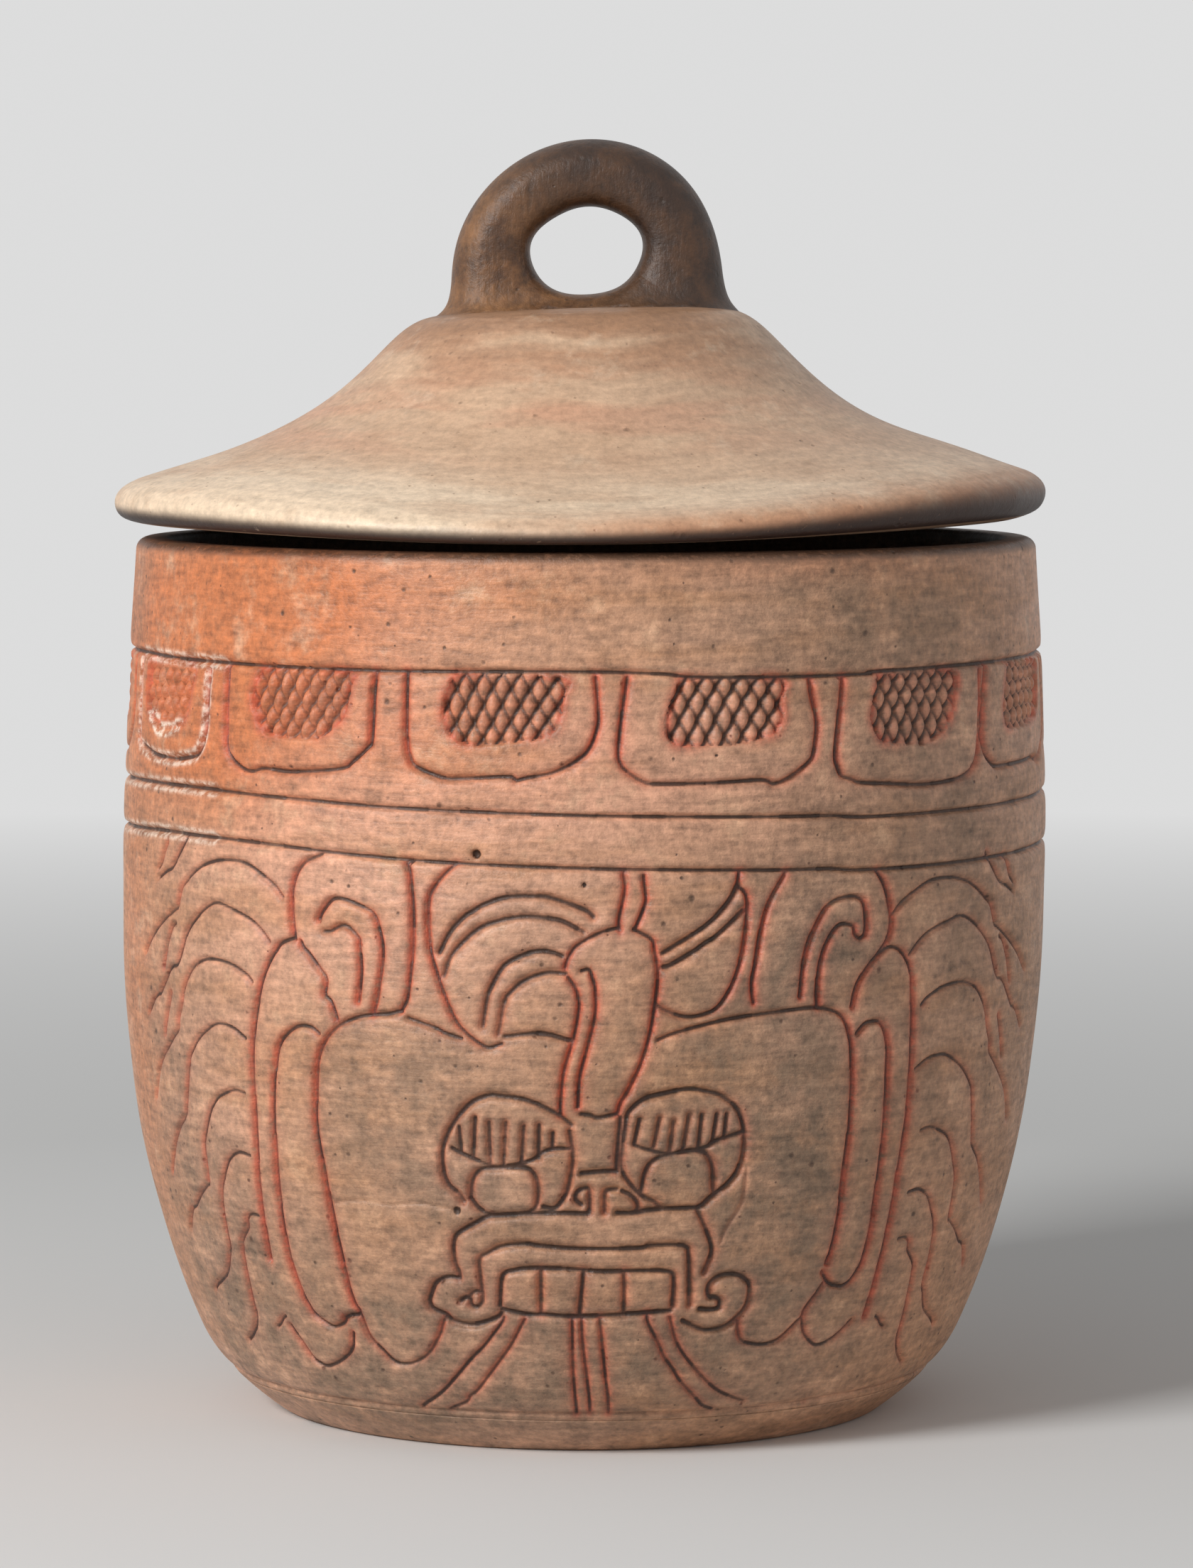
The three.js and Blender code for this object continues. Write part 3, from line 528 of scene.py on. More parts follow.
# Feathers of the left wing, and how far each lies shifted on the right wing, which mirrors it
FEATHERS = [
    ([(-98, 127.75), (-101, 124.5), (-104.5, 121.25), (-108, 120), (-111.5, 118.5)], (2, -3)),
    ([(-106.5, 126.5), (-108, 124.5), (-109.5, 122), (-112, 120.25)], (2, -3)),
    ([(-67, 117.5), (-70, 120.2), (-77.5, 123.75), (-84.5, 124.1), (-90, 123.1), (-94, 121.5), (-98, 119),
      (-100, 117.5), (-101.75, 113.75), (-102.5, 112.75), (-105, 111.75), (-113.5, 107),
      (-120, 102)], (2.5, -3.8)),
    ([(-70.5, 108), (-72.5, 110), (-75, 111.75), (-78, 113), (-84, 114.6), (-87, 115), (-90, 114.1),
      (-94, 111.75), (-98, 108.25), (-101, 103), (-103, 100.6), (-105.5, 99.9), (-109.5, 96), (-112, 93.75),
      (-114.5, 93), (-119, 89)], (4, -3)),
    ([(-103, 109.5), (-104.5, 108.75), (-107, 104.75), (-109, 99.5)], (4, -3)),
    ([(-76, 99.25), (-78, 100.75), (-83, 102.5), (-89.5, 103), (-94.5, 101.75), (-97.75, 99), (-100, 95.75),
      (-101, 93), (-103, 89.5), (-103.5, 87.25), (-107, 84.5), (-115, 78), (-120, 71)], (2.5, -5)),
    ([(-106, 94.5), (-109, 88.5), (-110, 85.5)], (2.5, -5)),
    ([(-78.25, 87.25), (-82.5, 89.25), (-87.5, 89.6), (-92, 87.75), (-95.5, 85.5), (-99, 82), (-99.75, 80),
      (-103, 70.5), (-104, 68.75), (-108, 65.75), (-111.5, 62), (-117, 55)], (0, -6.5)),
    ([(-80, 75.5), (-83, 75.9), (-85.5, 75.4), (-90, 73.6), (-92.5, 71), (-95, 67), (-97, 63), (-98, 55),
      (-99.5, 53.9), (-103, 51.75), (-107, 48.75), (-110, 47.5), (-114, 43)], (2, -8)),
    ([(-80.25, 62.25), (-84, 62.6), (-87.5, 61), (-90, 58), (-92.5, 54.5), (-93.75, 50.75), (-94.5, 45),
      (-94.75, 41.5), (-96, 39.5), (-100, 35), (-107.5, 31.5), (-109.5, 30.25)], (1, -8)),
    ([(-81, 49.25), (-83.5, 49.4), (-85, 48.5), (-85.5, 46.5), (-88.5, 43.75), (-89.5, 41.5), (-91.5, 30),
      (-92, 27), (-94, 24), (-97, 21.75), (-100.5, 20)], (0, -5)),
    ([(-80, 27.5), (-81.5, 26.75), (-83, 25.5), (-84.5, 24.75)], (0, 0)),
]
CRACK = [(-57, 54.2), (-50, 55.4), (-42, 54.9), (-35, 55.5), (-27, 54.3)]
SCRATCH = [(36.1, 63.3), (36, 59.7), (35.7, 56.2), (34.8, 54.2), (33.1, 51.5), (31.9, 49.4), (31.3, 47.4)]
# A short arc on the first oval's lower left: a shallow cut with a pale painted highlight on its rim
OVAL_RIM_HIGHLIGHT = [(-118.4, 152.7), (-115.6, 151.2), (-113.6, 150), (-108.8, 149.9), (-103.7, 151)]
# Pits where grit fell out: around, height, radius and depth
PITS = [
    (-22.1, 128, 0.95, 1.6), (0.1, 122, 0.5, 0.9), (-27, 54.3, 0.9, 0.8), (-36, 126, 0.45, 0.7),
    (27, 148, 0.4, 0.5),
]

WALL_THICKNESS, LIP = 7.5, 2.6  # and the radius at which the lip is rounded outside
CUT_HALF_WIDTH, CUT_DEPTH = 0.6, 1.1
SHOULDER_WIDTH, SHOULDER_DEPTH = 1.8, 0.22  # the rim of each cut, worn down by burnishing
# The dark line in each cut is partly dirt and partly painted shade
DIRT_AND_SHADE_WIDTH, RED_WIDTH, SMEAR_WIDTH = 0.65, 1.05, 2.6
RIM_HIGHLIGHT_OFF, RIM_HIGHLIGHT_WIDTH = 1.1, 0.5  # the pale painted highlight on a cut's lit rim lies this far from the middle of its line
REACH = 5.0  # mm past which a line changes nothing
PART = 10  # steps of a line that are cut together

CARVED_TO = 168.5  # mm up the wall, above which it is plain
band_heights = np.arange(SLAB_THICKNESS, CARVED_TO, FINE_STEP)
upper_heights = np.linspace(band_heights[-1], JAR_HEIGHT - LIP, 15)[1:]
wall_heights = np.concatenate([band_heights, upper_heights])
depth = np.zeros((len(wall_heights), len(around)))
cut, red, pale = depth.copy(), depth.copy(), depth.copy()


def smooth_line(points, step=0.7):
    """A hand's even line through the points."""
    known = np.array(points, float)
    known = np.vstack([2 * known[0] - known[1], known, 2 * known[-1] - known[-2]])
    parts = []
    for a, b, c, d in zip(known, known[1:], known[2:], known[3:]):
        count = max(1, math.ceil(np.hypot(*(c - b)) / step))
        t = np.arange(count)[:, None] / count
        bend = 2 * a - 5 * b + 4 * c - d + t * (3 * (b - c) + d - a)
        parts.append(b + 0.5 * t * (c - a + t * bend))
    return np.vstack([*parts, known[-2:-1]])


def carve(points, width=1.0, deep=1.0, pigment=1.0, dark=1.0, rim_highlight=0.0):
    """Cuts one line into the wall, keeping the deepest of the lines that meet. The red is stronger on
    the upright stretches, and a dark line, partly dirt and partly painted shade, lies along the
    bottom of the cut, a little darker on the level stretches."""
    line = smooth_line(points)
    for start in range(0, len(line) - 1, PART):
        part = line[start : start + PART + 1]
        (left, low), (right, high) = part.min(0) - REACH - 2, part.max(0) + REACH
        rows = slice(*np.searchsorted(wall_heights, [low, high]))
        columns = np.flatnonzero((around - left) % ROUND < right - left + 4)
        heights = wall_heights[rows]
        if not len(columns) or not len(heights):
            continue
        places = (around[columns] - left) % ROUND + left
        narrow = (jar_radius(heights) / 100)[:, None]
        best, steep = np.full((len(heights), len(columns)), 1e9), np.zeros((len(heights), len(columns)))
        for a, b in zip(part, part[1:]):
            step = (b - a) * [narrow.mean(), 1]
            east, north = (places[None, :] - a[0]) * narrow, heights[:, None] - a[1]
            share = np.clip((east * step[0] + north * step[1]) / max(step @ step, 1e-9), 0, 1)
            off = np.hypot(east - share * step[0], north - share * step[1])
            nearer = off < best
            best = np.where(nearer, off, best)
            steep = np.where(nearer, abs(step[1]) / max(np.hypot(*step), 1e-9), steep)
        press = 1 + 0.14 * math.sin(0.19 * part[0][0] + 0.23 * part[0][1])
        groove = 1 / (1 + (best / (CUT_HALF_WIDTH * width * press)) ** 4)
        rim = np.exp(-((best / SHOULDER_WIDTH) ** 2))
        band = 0.8 * np.exp(-((best / (RED_WIDTH * width)) ** 2)) + 0.2 * np.exp(-((best / SMEAR_WIDTH) ** 2))
        rubbed = pigment * (0.15 + 0.85 * steep**1.5) * band
        target = np.ix_(np.arange(rows.start, rows.stop), columns)
        depth[target] = np.maximum(depth[target], deep * (CUT_DEPTH * press * groove + SHOULDER_DEPTH * rim))
        # Dark along the bottom of the cut: partly dirt, partly painted shade, a little darker on level
        # stretches
        held = dark * (0.9 + 0.1 * math.sin(0.37 * part[0][0] - 0.29 * part[0][1]))
        dirt_and_shade = held * (1 - 0.12 * steep) * np.exp(-((best / (DIRT_AND_SHADE_WIDTH * width)) ** 2))
        cut[target] = np.maximum(cut[target], dirt_and_shade)
        red[target] = np.maximum(red[target], rubbed)
        # Pale painted highlight along the lit rim beside the cut
        lit_rim_paint = rim_highlight * np.exp(-(((best - RIM_HIGHLIGHT_OFF) / RIM_HIGHLIGHT_WIDTH) ** 2))
        pale[target] = np.maximum(pale[target], lit_rim_paint)


BEAD_PITCH = 3.25  # mm between the strokes that leave the beads of an oval standing
BEAD_STROKES = ((57, 1.0, 0.85), (-57, 0.85, 0.75))  # degrees, depth and darkness (dirt and painted shade) of the two sets of strokes
BEAD_GROUND, BEAD_RIM = 0.3, 0.8  # how far the oval is sunk, and how wide its sloping edge is
BEADS_FAINTER_TO, BEADS_FAINTER_FADE = -105, 70  # up to here the dark between the beads is weaker, fading over this width


def beaded_oval(rim):
    """Strokes both ways across the oval leave rows of slanting beads, as on a maize cob."""
    outline = smooth_line(rim + rim[:1])
    (left, low), (right, high) = outline.min(0) - 2, outline.max(0) + 2
    rows = slice(*np.searchsorted(wall_heights, [low, high]))
    columns = np.flatnonzero((around - left) % ROUND < right - left)
    x = ((around[columns] - left) % ROUND + left)[None, :]
    y = wall_heights[rows][:, None]
    edge = np.full((y.size, x.size), 1e9)
    within = np.zeros(edge.shape, bool)
    for (x0, y0), (x1, y1) in zip(outline, outline[1:]):
        edge = np.minimum(edge, np.hypot(x - (x0 + x1) / 2, y - (y0 + y1) / 2))
        within ^= ((y0 > y) != (y1 > y)) & (x < (x1 - x0) * (y - y0) / (y1 - y0 + 1e-12) + x0)
    held = smooth_step(0.5 + np.where(within, edge, -edge) / BEAD_RIM)
    sunk, dirt_and_shade = BEAD_GROUND, 0.0
    kept = 0.6 + 0.4 * smooth_step((x.mean() - BEADS_FAINTER_TO) / BEADS_FAINTER_FADE)
    uneven = 0.5 * np.sin(x / 7 + y / 5) + 0.4 * np.sin(y / 3.1 - x / 9)
    for slant, deep, dark in BEAD_STROKES:
        side = -x * math.sin(math.radians(slant)) + y * math.cos(math.radians(slant)) + 0.5 * uneven
        stroke = (0.5 + 0.5 * np.cos(2 * math.pi * side / BEAD_PITCH)) ** 2
        sunk, dirt_and_shade = sunk + deep * stroke, np.maximum(dirt_and_shade, dark * stroke)
    target = np.ix_(np.arange(rows.start, rows.stop), columns)
    depth[target] = np.maximum(depth[target], held * sunk)
    # Dark between the beads: partly dirt, partly painted shade
    cut[target] = np.maximum(cut[target], kept * held * dirt_and_shade)
    rubbed = 0.28 * held + 0.7 * np.exp(-((edge / 1.3) ** 2)) * smooth_step(abs(x - x.mean()) / 12)
    red[target] = np.maximum(red[target], rubbed)


def all_round(ring):
    return ring + [(ring[0][0] + ROUND, ring[0][1])]


for ring in RING_LINES:
    carve(all_round(ring), width=0.9, pigment=0.45)
    # The rings' left ends get a pale painted highlight on their lit rims
    left_part = [place for place in ring if place[0] <= RIM_HIGHLIGHT_TO]
    carve([*left_part, (RIM_HIGHLIGHT_TO, ring[1][1])], width=0.9, pigment=0.2, rim_highlight=0.7)
carve(all_round(HEEL_LINE), width=0.8, deep=0.7, pigment=0.45, dark=0.6)

hidden_pitch = (CARTOUCHES[0][0] + ROUND - CARTOUCHES[-1][0]) / (HIDDEN_CARTOUCHES + 1)
for number in range(len(CARTOUCHES) + HIDDEN_CARTOUCHES):
    seen = number < len(CARTOUCHES)
    middle, frame_line, rim = CARTOUCHES[number if seen else 1 + number % 3]
    shift = 0 if seen else CARTOUCHES[-1][0] + hidden_pitch * (number - len(CARTOUCHES) + 1) - middle
    # The first frame gets a pale painted highlight on its lit rim
    carve([(x + shift, y) for x, y in frame_line], pigment=1.1, rim_highlight=0.8 if number == 0 else 0)
    beaded_oval([(x + shift, y) for x, y in rim])

for shift in (0, ROUND / 2):  # the panel on the front, and its repeat on the back
    fine = [(line, 1.05, 1.0, 0.35) for line in LASHES + LID_EDGES]
    plain = [(line, 1.2, 1.1, 0.5) for line in EYES + PUPILS + NOSE + MOUTH + SCROLLS + CRESCENTS]
    marked = [(line, 0.95, 1.0, 1.1) for line in SNOUT + STRAP + LOBES + HEAD + EARS + LOOPS]
    wide = [(line, 0.9, 0.8, 0.8) for line in JOWLS + RAYS]
    for line, (over, down) in FEATHERS:
        fine.append((line, 0.85, 0.75, 0.75))
        fine.append(([(over - x, y + down) for x, y in line], 0.85, 0.75, 0.75))
    for line, width, deep, pigment in fine + plain + marked + wide:
        carve([(x + shift, y) for x, y in line], width, deep, pigment)

carve(CRACK, width=0.45, deep=0.35, pigment=0.0, dark=0.6)
carve(SCRATCH, width=0.7, deep=0.45, pigment=0.2, dark=0.55)
carve(OVAL_RIM_HIGHLIGHT, width=0.8, deep=0.7, pigment=0.2, dark=0.4, rim_highlight=1.0)
for x, y, radius, deep in PITS:
    off = np.hypot((around[None, :] - x), wall_heights[:, None] - y)
    depth += deep / (1 + (off / radius) ** 6)
    cut = np.maximum(cut, 1 / (1 + (off / (1.05 * radius)) ** 8))

FILLET = 10.0  # how far the inside corner at the floor is filled
lip_radius = float(jar_radius(JAR_HEIGHT - LIP))
mouth = lip_radius - WALL_THICKNESS
lip = [
    (lip_radius - LIP + LIP * math.cos(t), JAR_HEIGHT - LIP + LIP * math.sin(t))
    for t in np.radians(np.linspace(0, 90, 9))[1:]
]
top = [(lip_radius - LIP - s * (WALL_THICKNESS - LIP - LIP / 2), JAR_HEIGHT) for s in (0.33, 0.66)]
inner_lip = [
    (mouth + LIP / 2 + LIP / 2 * math.cos(t), JAR_HEIGHT - LIP / 2 + LIP / 2 * math.sin(t))
    for t in np.radians(np.linspace(90, 180, 6))
]
inner_heights = np.concatenate([np.linspace(186, 30, 30), np.linspace(28, 9, 10)])
corner = np.clip(1 - (inner_heights - SLAB_THICKNESS - 0.3) / FILLET, 0, 1)
inner_radii = jar_radius(inner_heights) - WALL_THICKNESS - FILLET * corner**2
foot = float(inner_radii[-1])
inner = [*zip(inner_radii, inner_heights), (foot - 3, SLAB_THICKNESS + 0.05)]
under = [(foot + 4, SLAB_THICKNESS), (top_radius - 4, SLAB_THICKNESS)]
rest = np.array(lip + top + inner_lip + inner + under)

section_heights = np.concatenate([wall_heights, rest[:, 1]])
outer_count = len(wall_heights)
radii = np.concatenate([jar_radius(wall_heights), rest[:, 0]])[:, None]
radii = radii + hand_swell(turns[None, :], section_heights[:, None])
radii[:outer_count] -= depth
jar_wall = turned_piece("jar_wall_piece", jar_place(turns[None, :], radii, section_heights[:, None]), "ring")
for name, spots in CLOUDS.items():
    paint(jar_wall, name, clouds(spots, section_heights))
inner_face = np.zeros(radii.shape)
inner_face[outer_count + len(lip) + len(top) + 2 :] = 1
paint(jar_wall, "inner", inner_face)
for name, values in (("cut", cut), ("red", red), ("pale", pale)):
    paint(jar_wall, name, np.clip(values, 0, 1))
# Painted shade on the top of the wall, where the brim overhangs the lip
under_brim = smooth_step((section_heights - JAR_HEIGHT + LIP) / 1.8)
paint(jar_wall, "shade_under_brim", under_brim[:, None] * np.ones(radii.shape))
jar_wall.data.materials.append(jar_slip)
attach(jar_wall, "jar")
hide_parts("jar_wall")

# Lid
# A hollow cone of clay, turned by hand on a mat: concave above, with a rounded brim that overhangs
# the jar and a low bead below that sits on its lip. It sagged a little in front and behind as it
# dried, so the brim rises at the sides. Cream slip, burnished in rings. Painted shade darkens the
# brim's lower edge, most at its right end; painted light makes the brim creamier on the left front,
# a painted orange reflection of the jar warms its right, and the lid is greyer away from the lamp,
# partly painted shade.

SEAT = JAR_HEIGHT + 0.3
LID_OFFSET = -0.4
CROWN = SEAT + 49.0
CROWN_RADIUS, SHOULDER_RADIUS, SHOULDER_DROP = 33.0, 38.5, 3.1
CROWN_DOME, CROWN_FALL = 0.25, 0.9  # the crown is higher in the middle, and falls this much to its edge
SWEEP_LENGTH, LID_WALL = 40.0, 6.5
BRIM_RADIUS, BRIM_TOP, BRIM_MIDDLE, BRIM_BOTTOM = 100.7, 198.25, 195.0, 191.75
UNDER_RADIUS, SWEEP_RADIUS = 85.4, 95.7  # where the hollow below and the slope above end
ROUND_BELOW, ROUND_ABOVE = 3.3, 4.2  # how far in the brim's edge is rounded
SAG_TOP, SAG_MIDDLE, SAG_BOTTOM = (4.0, -1.6), (2.9, -2.4), (2.75, -1.05)  # at the sides, in front
SAG_FROM, SAG_OVER = 50, 38  # the sag sets in past this radius, over this width
TILT = 1.1  # the lid is this much higher on the right than in the middle

lid_turns = np.linspace(0, 2 * math.pi, 720, endpoint=False)[None, :]
flat = np.ones_like(lid_turns)  # makes a ring of one number
# |sin| with its corners rounded, from 0 in front and behind to 1 at the sides
sideways = 0.637 - 0.424 * np.cos(2 * lid_turns) - 0.085 * np.cos(4 * lid_turns)
sideways = (sideways - 0.128) / (0.976 - 0.128)


def sag(levels):
    """How far the brim stands above its mean height, round the lid."""
    side, front = levels
    return front + (side - front) * sideways


def lean(radius):
    return TILT * np.sin(lid_turns) * np.minimum(radius / SHOULDER_RADIUS, 1)


def sweep_height(radius):
    """How high the concave slope stands at a radius, and how steeply it falls there."""
    span = BRIM_RADIUS - (BRIM_TOP - BRIM_MIDDLE) - SHOULDER_RADIUS
    tail = math.exp(-span / SWEEP_LENGTH)
    scale = (CROWN - SHOULDER_DROP - BRIM_TOP) / (1 - tail)
    decay = np.exp(-(radius - SHOULDER_RADIUS) / SWEEP_LENGTH)
    return BRIM_TOP + scale * (decay - tail), scale * decay / SWEEP_LENGTH


def brim_share(radius):
    return smooth_step((radius - SAG_FROM) / SAG_OVER)


def crown_height(radius):
    return CROWN + CROWN_DOME - CROWN_FALL * (radius / CROWN_RADIUS) ** 2


underside = []
for radius in np.linspace(3, UNDER_RADIUS, 56):
    height, slope = sweep_height(radius)
    low = min(CROWN - LID_WALL, height - LID_WALL * math.hypot(1, slope))
    underside.append((radius * flat, low + brim_share(radius) * sag(SAG_BOTTOM)))
bottom = BRIM_BOTTOM + sag(SAG_BOTTOM) + lean(BRIM_RADIUS)
middle_height = BRIM_MIDDLE + sag(SAG_MIDDLE) + lean(BRIM_RADIUS)
top_height = BRIM_TOP + sag(SAG_TOP) + lean(BRIM_RADIUS)
# Radius and height along the low bead that sits on the jar's lip, up to the brim
BEAD = [(87, 193.8), (88.6, 191.8), (90.1, 190.4), (91.2, 189.4), (92.2, 189.35), (93.2, 189.35)]
BEAD += [(94.2, 189.5), (95, (190 + bottom) / 2), (96.2, bottom)]
bead = [(radius * flat, height * flat) for radius, height in BEAD]
edge = []
for turn in np.radians(np.linspace(-84, -8, 8)):  # below, the hand left the corner nearly square
    wide, deep = math.cos(turn) ** 0.6, math.sin(-turn) ** 0.6
    radius = BRIM_RADIUS - ROUND_BELOW * (1 - wide)
    edge.append((radius * flat, middle_height - (middle_height - bottom) * deep))
for turn in np.radians(np.linspace(0, 90, 11)):
    height = middle_height + (top_height - middle_height) * math.sin(turn)
    radius = BRIM_RADIUS - ROUND_ABOVE * (1 - math.cos(turn))
    edge.append((radius * flat, height))
outside = []
for radius in np.linspace(SWEEP_RADIUS, SHOULDER_RADIUS, 76):
    height = sweep_height(radius)[0] + brim_share(radius) * sag(SAG_TOP)
    outside.append((radius * flat, height + lean(radius)))
for share in np.linspace(0, 1, 8)[1:]:
    radius = SHOULDER_RADIUS + share * (CROWN_RADIUS - SHOULDER_RADIUS)
    drop = (SHOULDER_DROP + CROWN_DOME - CROWN_FALL) * (1 - share) ** 2
    outside.append((radius * flat, crown_height(CROWN_RADIUS) - drop + lean(radius)))
for radius in np.linspace(CROWN_RADIUS - 1, 2, 30):
    outside.append((radius * flat, crown_height(radius) + lean(radius)))
section = underside + bead + edge + outside
lid_radii = np.stack([radius[0] for radius, _ in section])
lid_heights = np.stack([height[0] for _, height in section])


def soften(rows, times):
    """Draws each row towards its neighbours, as a wet hand does."""
    for _ in range(times):
        rows[1:-1] = (rows[:-2] + 2 * rows[1:-1] + rows[2:]) / 4


soft_from = len(underside) + 4
soften(lid_radii[soft_from:], 4)  # the hand leaves no sharp corner on the brim
soften(lid_heights[soft_from:], 4)
above = slice(len(underside) + len(bead) + len(edge), None)
by_shoulder = (lid_radii[:, 0] < 46) & (lid_radii[:, 0] > 28)
shoulder_rows = np.flatnonzero(by_shoulder & (lid_heights[:, 0] > CROWN - 20))
soften(lid_heights[shoulder_rows[0] : shoulder_rows[-1] + 1], 40)  # nor on the shoulder
dents = 0.16 * np.sin(3 * lid_turns + lid_radii[above] / 9)
dents += 0.1 * np.sin(7 * lid_turns - lid_radii[above] / 5)
lid_heights[above] += dents * smooth_step((lid_radii[above] - 30) / 12)
on_edge = smooth_step((lid_radii - 92) / 6)
lid_radii += on_edge * (0.3 * np.sin(4 * lid_turns + 1) + 0.18 * np.sin(9 * lid_turns))
lid_shape = [lid_radii * np.sin(lid_turns) + LID_OFFSET, -lid_radii * np.cos(lid_turns), lid_heights]
lid_shell = turned_piece("lid_shell_piece", np.stack(lid_shape, -1) * MM, "caps")

below = np.zeros_like(lid_radii)
below[: len(underside) + len(bead)] = 1
over_bottom = np.where(below == 1, 0, lid_heights - bottom)
outer = smooth_step((lid_radii - 88) / 8) * (1 - below)
right_end = smooth_step((np.sin(lid_turns) - 0.3) / 0.65)
left_front = 0.5 + 0.5 * np.cos(lid_turns + 0.6)
paint(lid_shell, "under", below)
# Painted shade along the brim's lower edge, widest at its right end
paint(lid_shell, "brim_edge_shade", outer * np.exp(-((over_bottom / (2.5 + 3.4 * right_end)) ** 4)))
# Painted orange reflection of the jar on the right of the brim
bounce_side = smooth_step((np.sin(lid_turns) + 0.3) / 0.5)
paint(lid_shell, "painted_bounce", outer * bounce_side * np.exp(-((over_bottom / (6.0 + 2.6 * right_end)) ** 4)))
# Creamier on the lid's outer part at the left front, where the lamp falls: painted light
paint(lid_shell, "cream", left_front * smooth_step((lid_radii - 70) / 20) * (1 - below))
paint(lid_shell, "blush", left_front * smooth_step((84 - lid_radii) / 30))
# Greyer on the right and behind, away from the lamp: smoke and painted shade
paint(lid_shell, "smoke_and_shade", (1 - left_front) * np.ones_like(lid_radii))
paint(lid_shell, "crown", smooth_step((60 - lid_radii) / 24))
past_loop = np.hypot(np.clip(abs(lid_shape[0]) - 27, 0, None), np.clip(abs(lid_shape[1]) - 9, 0, None))
paint(lid_shell, "handled", np.exp(-((past_loop / 7) ** 2)) * smooth_step((38 - lid_radii) / 7) * (1 - below))
steps = np.hypot(np.diff(lid_radii, axis=0), np.diff(lid_heights, axis=0))
paint(lid_shell, "climb", 4 * MM * np.vstack([0 * steps[:1], np.cumsum(steps, axis=0)]))
LID_LAYERS = [
    (None, "broad", 0.4, 0.62, 0.5, "#C49C7C"),
    ("blush", "bands", 0.42, 0.58, 0.8, "#CF9A7B"),
    # painted light on the left front
    ("cream", "bands", 0.3, 0.55, 0.85, "#EED6B9"),
    # smoke and painted shade away from the lamp
    ("smoke_and_shade", "blotch", 0.35, 0.6, 0.75, "#B79E8B"),
    ("crown", "bands", 0.36, 0.56, 0.9, "#A37A5B"),
    ("handled", "blotch", 0.2, 0.5, 0.85, "#735139"),
    (None, "blotch", 0.56, 0.74, 0.4, "#B08B6C"),
    (None, "blotch", 0.42, 0.28, 0.4, "#E5CCB0"),
    (None, "pores", 0.0, 0.7, 0.5, "#7A5A42"),
    # painted reflection of the orange jar
    ("painted_bounce", "blotch", 0.2, 0.5, 0.75, "#C08058"),
    # painted shade at the brim's lower edge
    ("brim_edge_shade", "fine", 0.08, 0.36, 1.0, "#2E190F"),
    ("under", None, 0, 1, 0.8, "#7D5F49"),
]
# Cream slip over buff clay, rubbed in rings: a soft shine with tan and pink bands
lid_shell.data.materials.append(burnished_slip("cream_slip", (1, 1, 0), 0.9, 0.6, "#D3B091", LID_LAYERS))
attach(lid_shell, "lid")
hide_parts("lid_shell")

# Loop handle
# A thick coil of clay bent into a loop, pierced for a finger and luted on the crown, its foot
# smeared out over the joint. Handling and smoke have darkened it to a mottled brown; painted shade
# darkens its right side and painted light lightens its left.

LOOP_OFFSET = 1.2
LOOP_RADIUS, LOOP_MIDDLE = 29.0, CROWN + 7.7
LOOP_HALF_DEPTH = 10.0
HOLE_HALF_WIDTH, HOLE_HALF_HEIGHT, HOLE_MIDDLE = 12.0, 9.65, CROWN + 12.5
FOOT_FLARES = ((2.4, 4.0), (1.8, 0.9))  # how far the foot spreads, and how high up each spread reaches
ENDS_FROM, ENDS_OVER = 16, 13  # the spread lengthways sets in past here, over this length
BURIED = 4.5  # the outline runs on this far below the foot before it is cut flat
SUNK = 0.2  # mm of the foot that are worked into the crown

low = CROWN - BURIED
side_up = [(LOOP_RADIUS, low + (LOOP_MIDDLE - low) * s) for s in np.linspace(0, 1, 26)[:-1]]
arch_turns = np.linspace(0, math.pi, 130)
arch = [(LOOP_RADIUS * math.cos(t), LOOP_MIDDLE + LOOP_RADIUS * math.sin(t)) for t in arch_turns]
side_down = [(-x, z) for x, z in reversed(side_up)]
floor_line = [(-LOOP_RADIUS + 2 * LOOP_RADIUS * s, low) for s in np.linspace(0, 1, 80)[1:-1]]
outline = np.array(side_up + arch + side_down + floor_line)
bearing = np.arctan2(outline[:, 1] - HOLE_MIDDLE, outline[:, 0])
uneven = 1 + 0.025 * np.sin(2 * bearing + 0.6) + 0.015 * np.sin(5 * bearing)
hole = [HOLE_HALF_WIDTH * uneven * np.cos(bearing), HOLE_MIDDLE + HOLE_HALF_HEIGHT * uneven * np.sin(bearing)]
hole_edge = np.stack(hole, -1)
round_turn = np.linspace(0, 2 * math.pi, 64, endpoint=False)
square = np.where(np.cos(round_turn) > 0, 2.3, 3.8)  # rounder outside, flatter in the hole
along = np.sign(np.cos(round_turn)) * np.abs(np.cos(round_turn)) ** (2 / square)
across = np.sign(np.sin(round_turn)) * np.abs(np.sin(round_turn)) ** (2 / square)
half, centre = (outline - hole_edge) / 2, (outline + hole_edge) / 2
loop_x = centre[:, :1] + half[:, :1] * along[None, :] + 0 * across[None, :]
loop_z = centre[:, 1:] + half[:, 1:] * along[None, :]
loop_y = -LOOP_HALF_DEPTH * across[None, :] + 0 * loop_x
rise = np.clip(loop_z - CROWN, 0, None)
flare = sum(spread * np.exp(-rise / reach) for spread, reach in FOOT_FLARES)
loop_y += flare * loop_y / LOOP_HALF_DEPTH
loop_x += flare * np.sign(loop_x) * np.clip((np.abs(loop_x) - ENDS_FROM) / ENDS_OVER, 0, 1) ** 2
loop_x += 0.2 * np.sin(loop_z / 6) + LOOP_OFFSET
loop_y += 0.25 * np.sin(loop_x / 9 + loop_z / 7)
lid_x = loop_x - LID_OFFSET
lid_line = np.stack([lid_radii[above, 0], lid_heights[above, 0]])[:, ::-1]
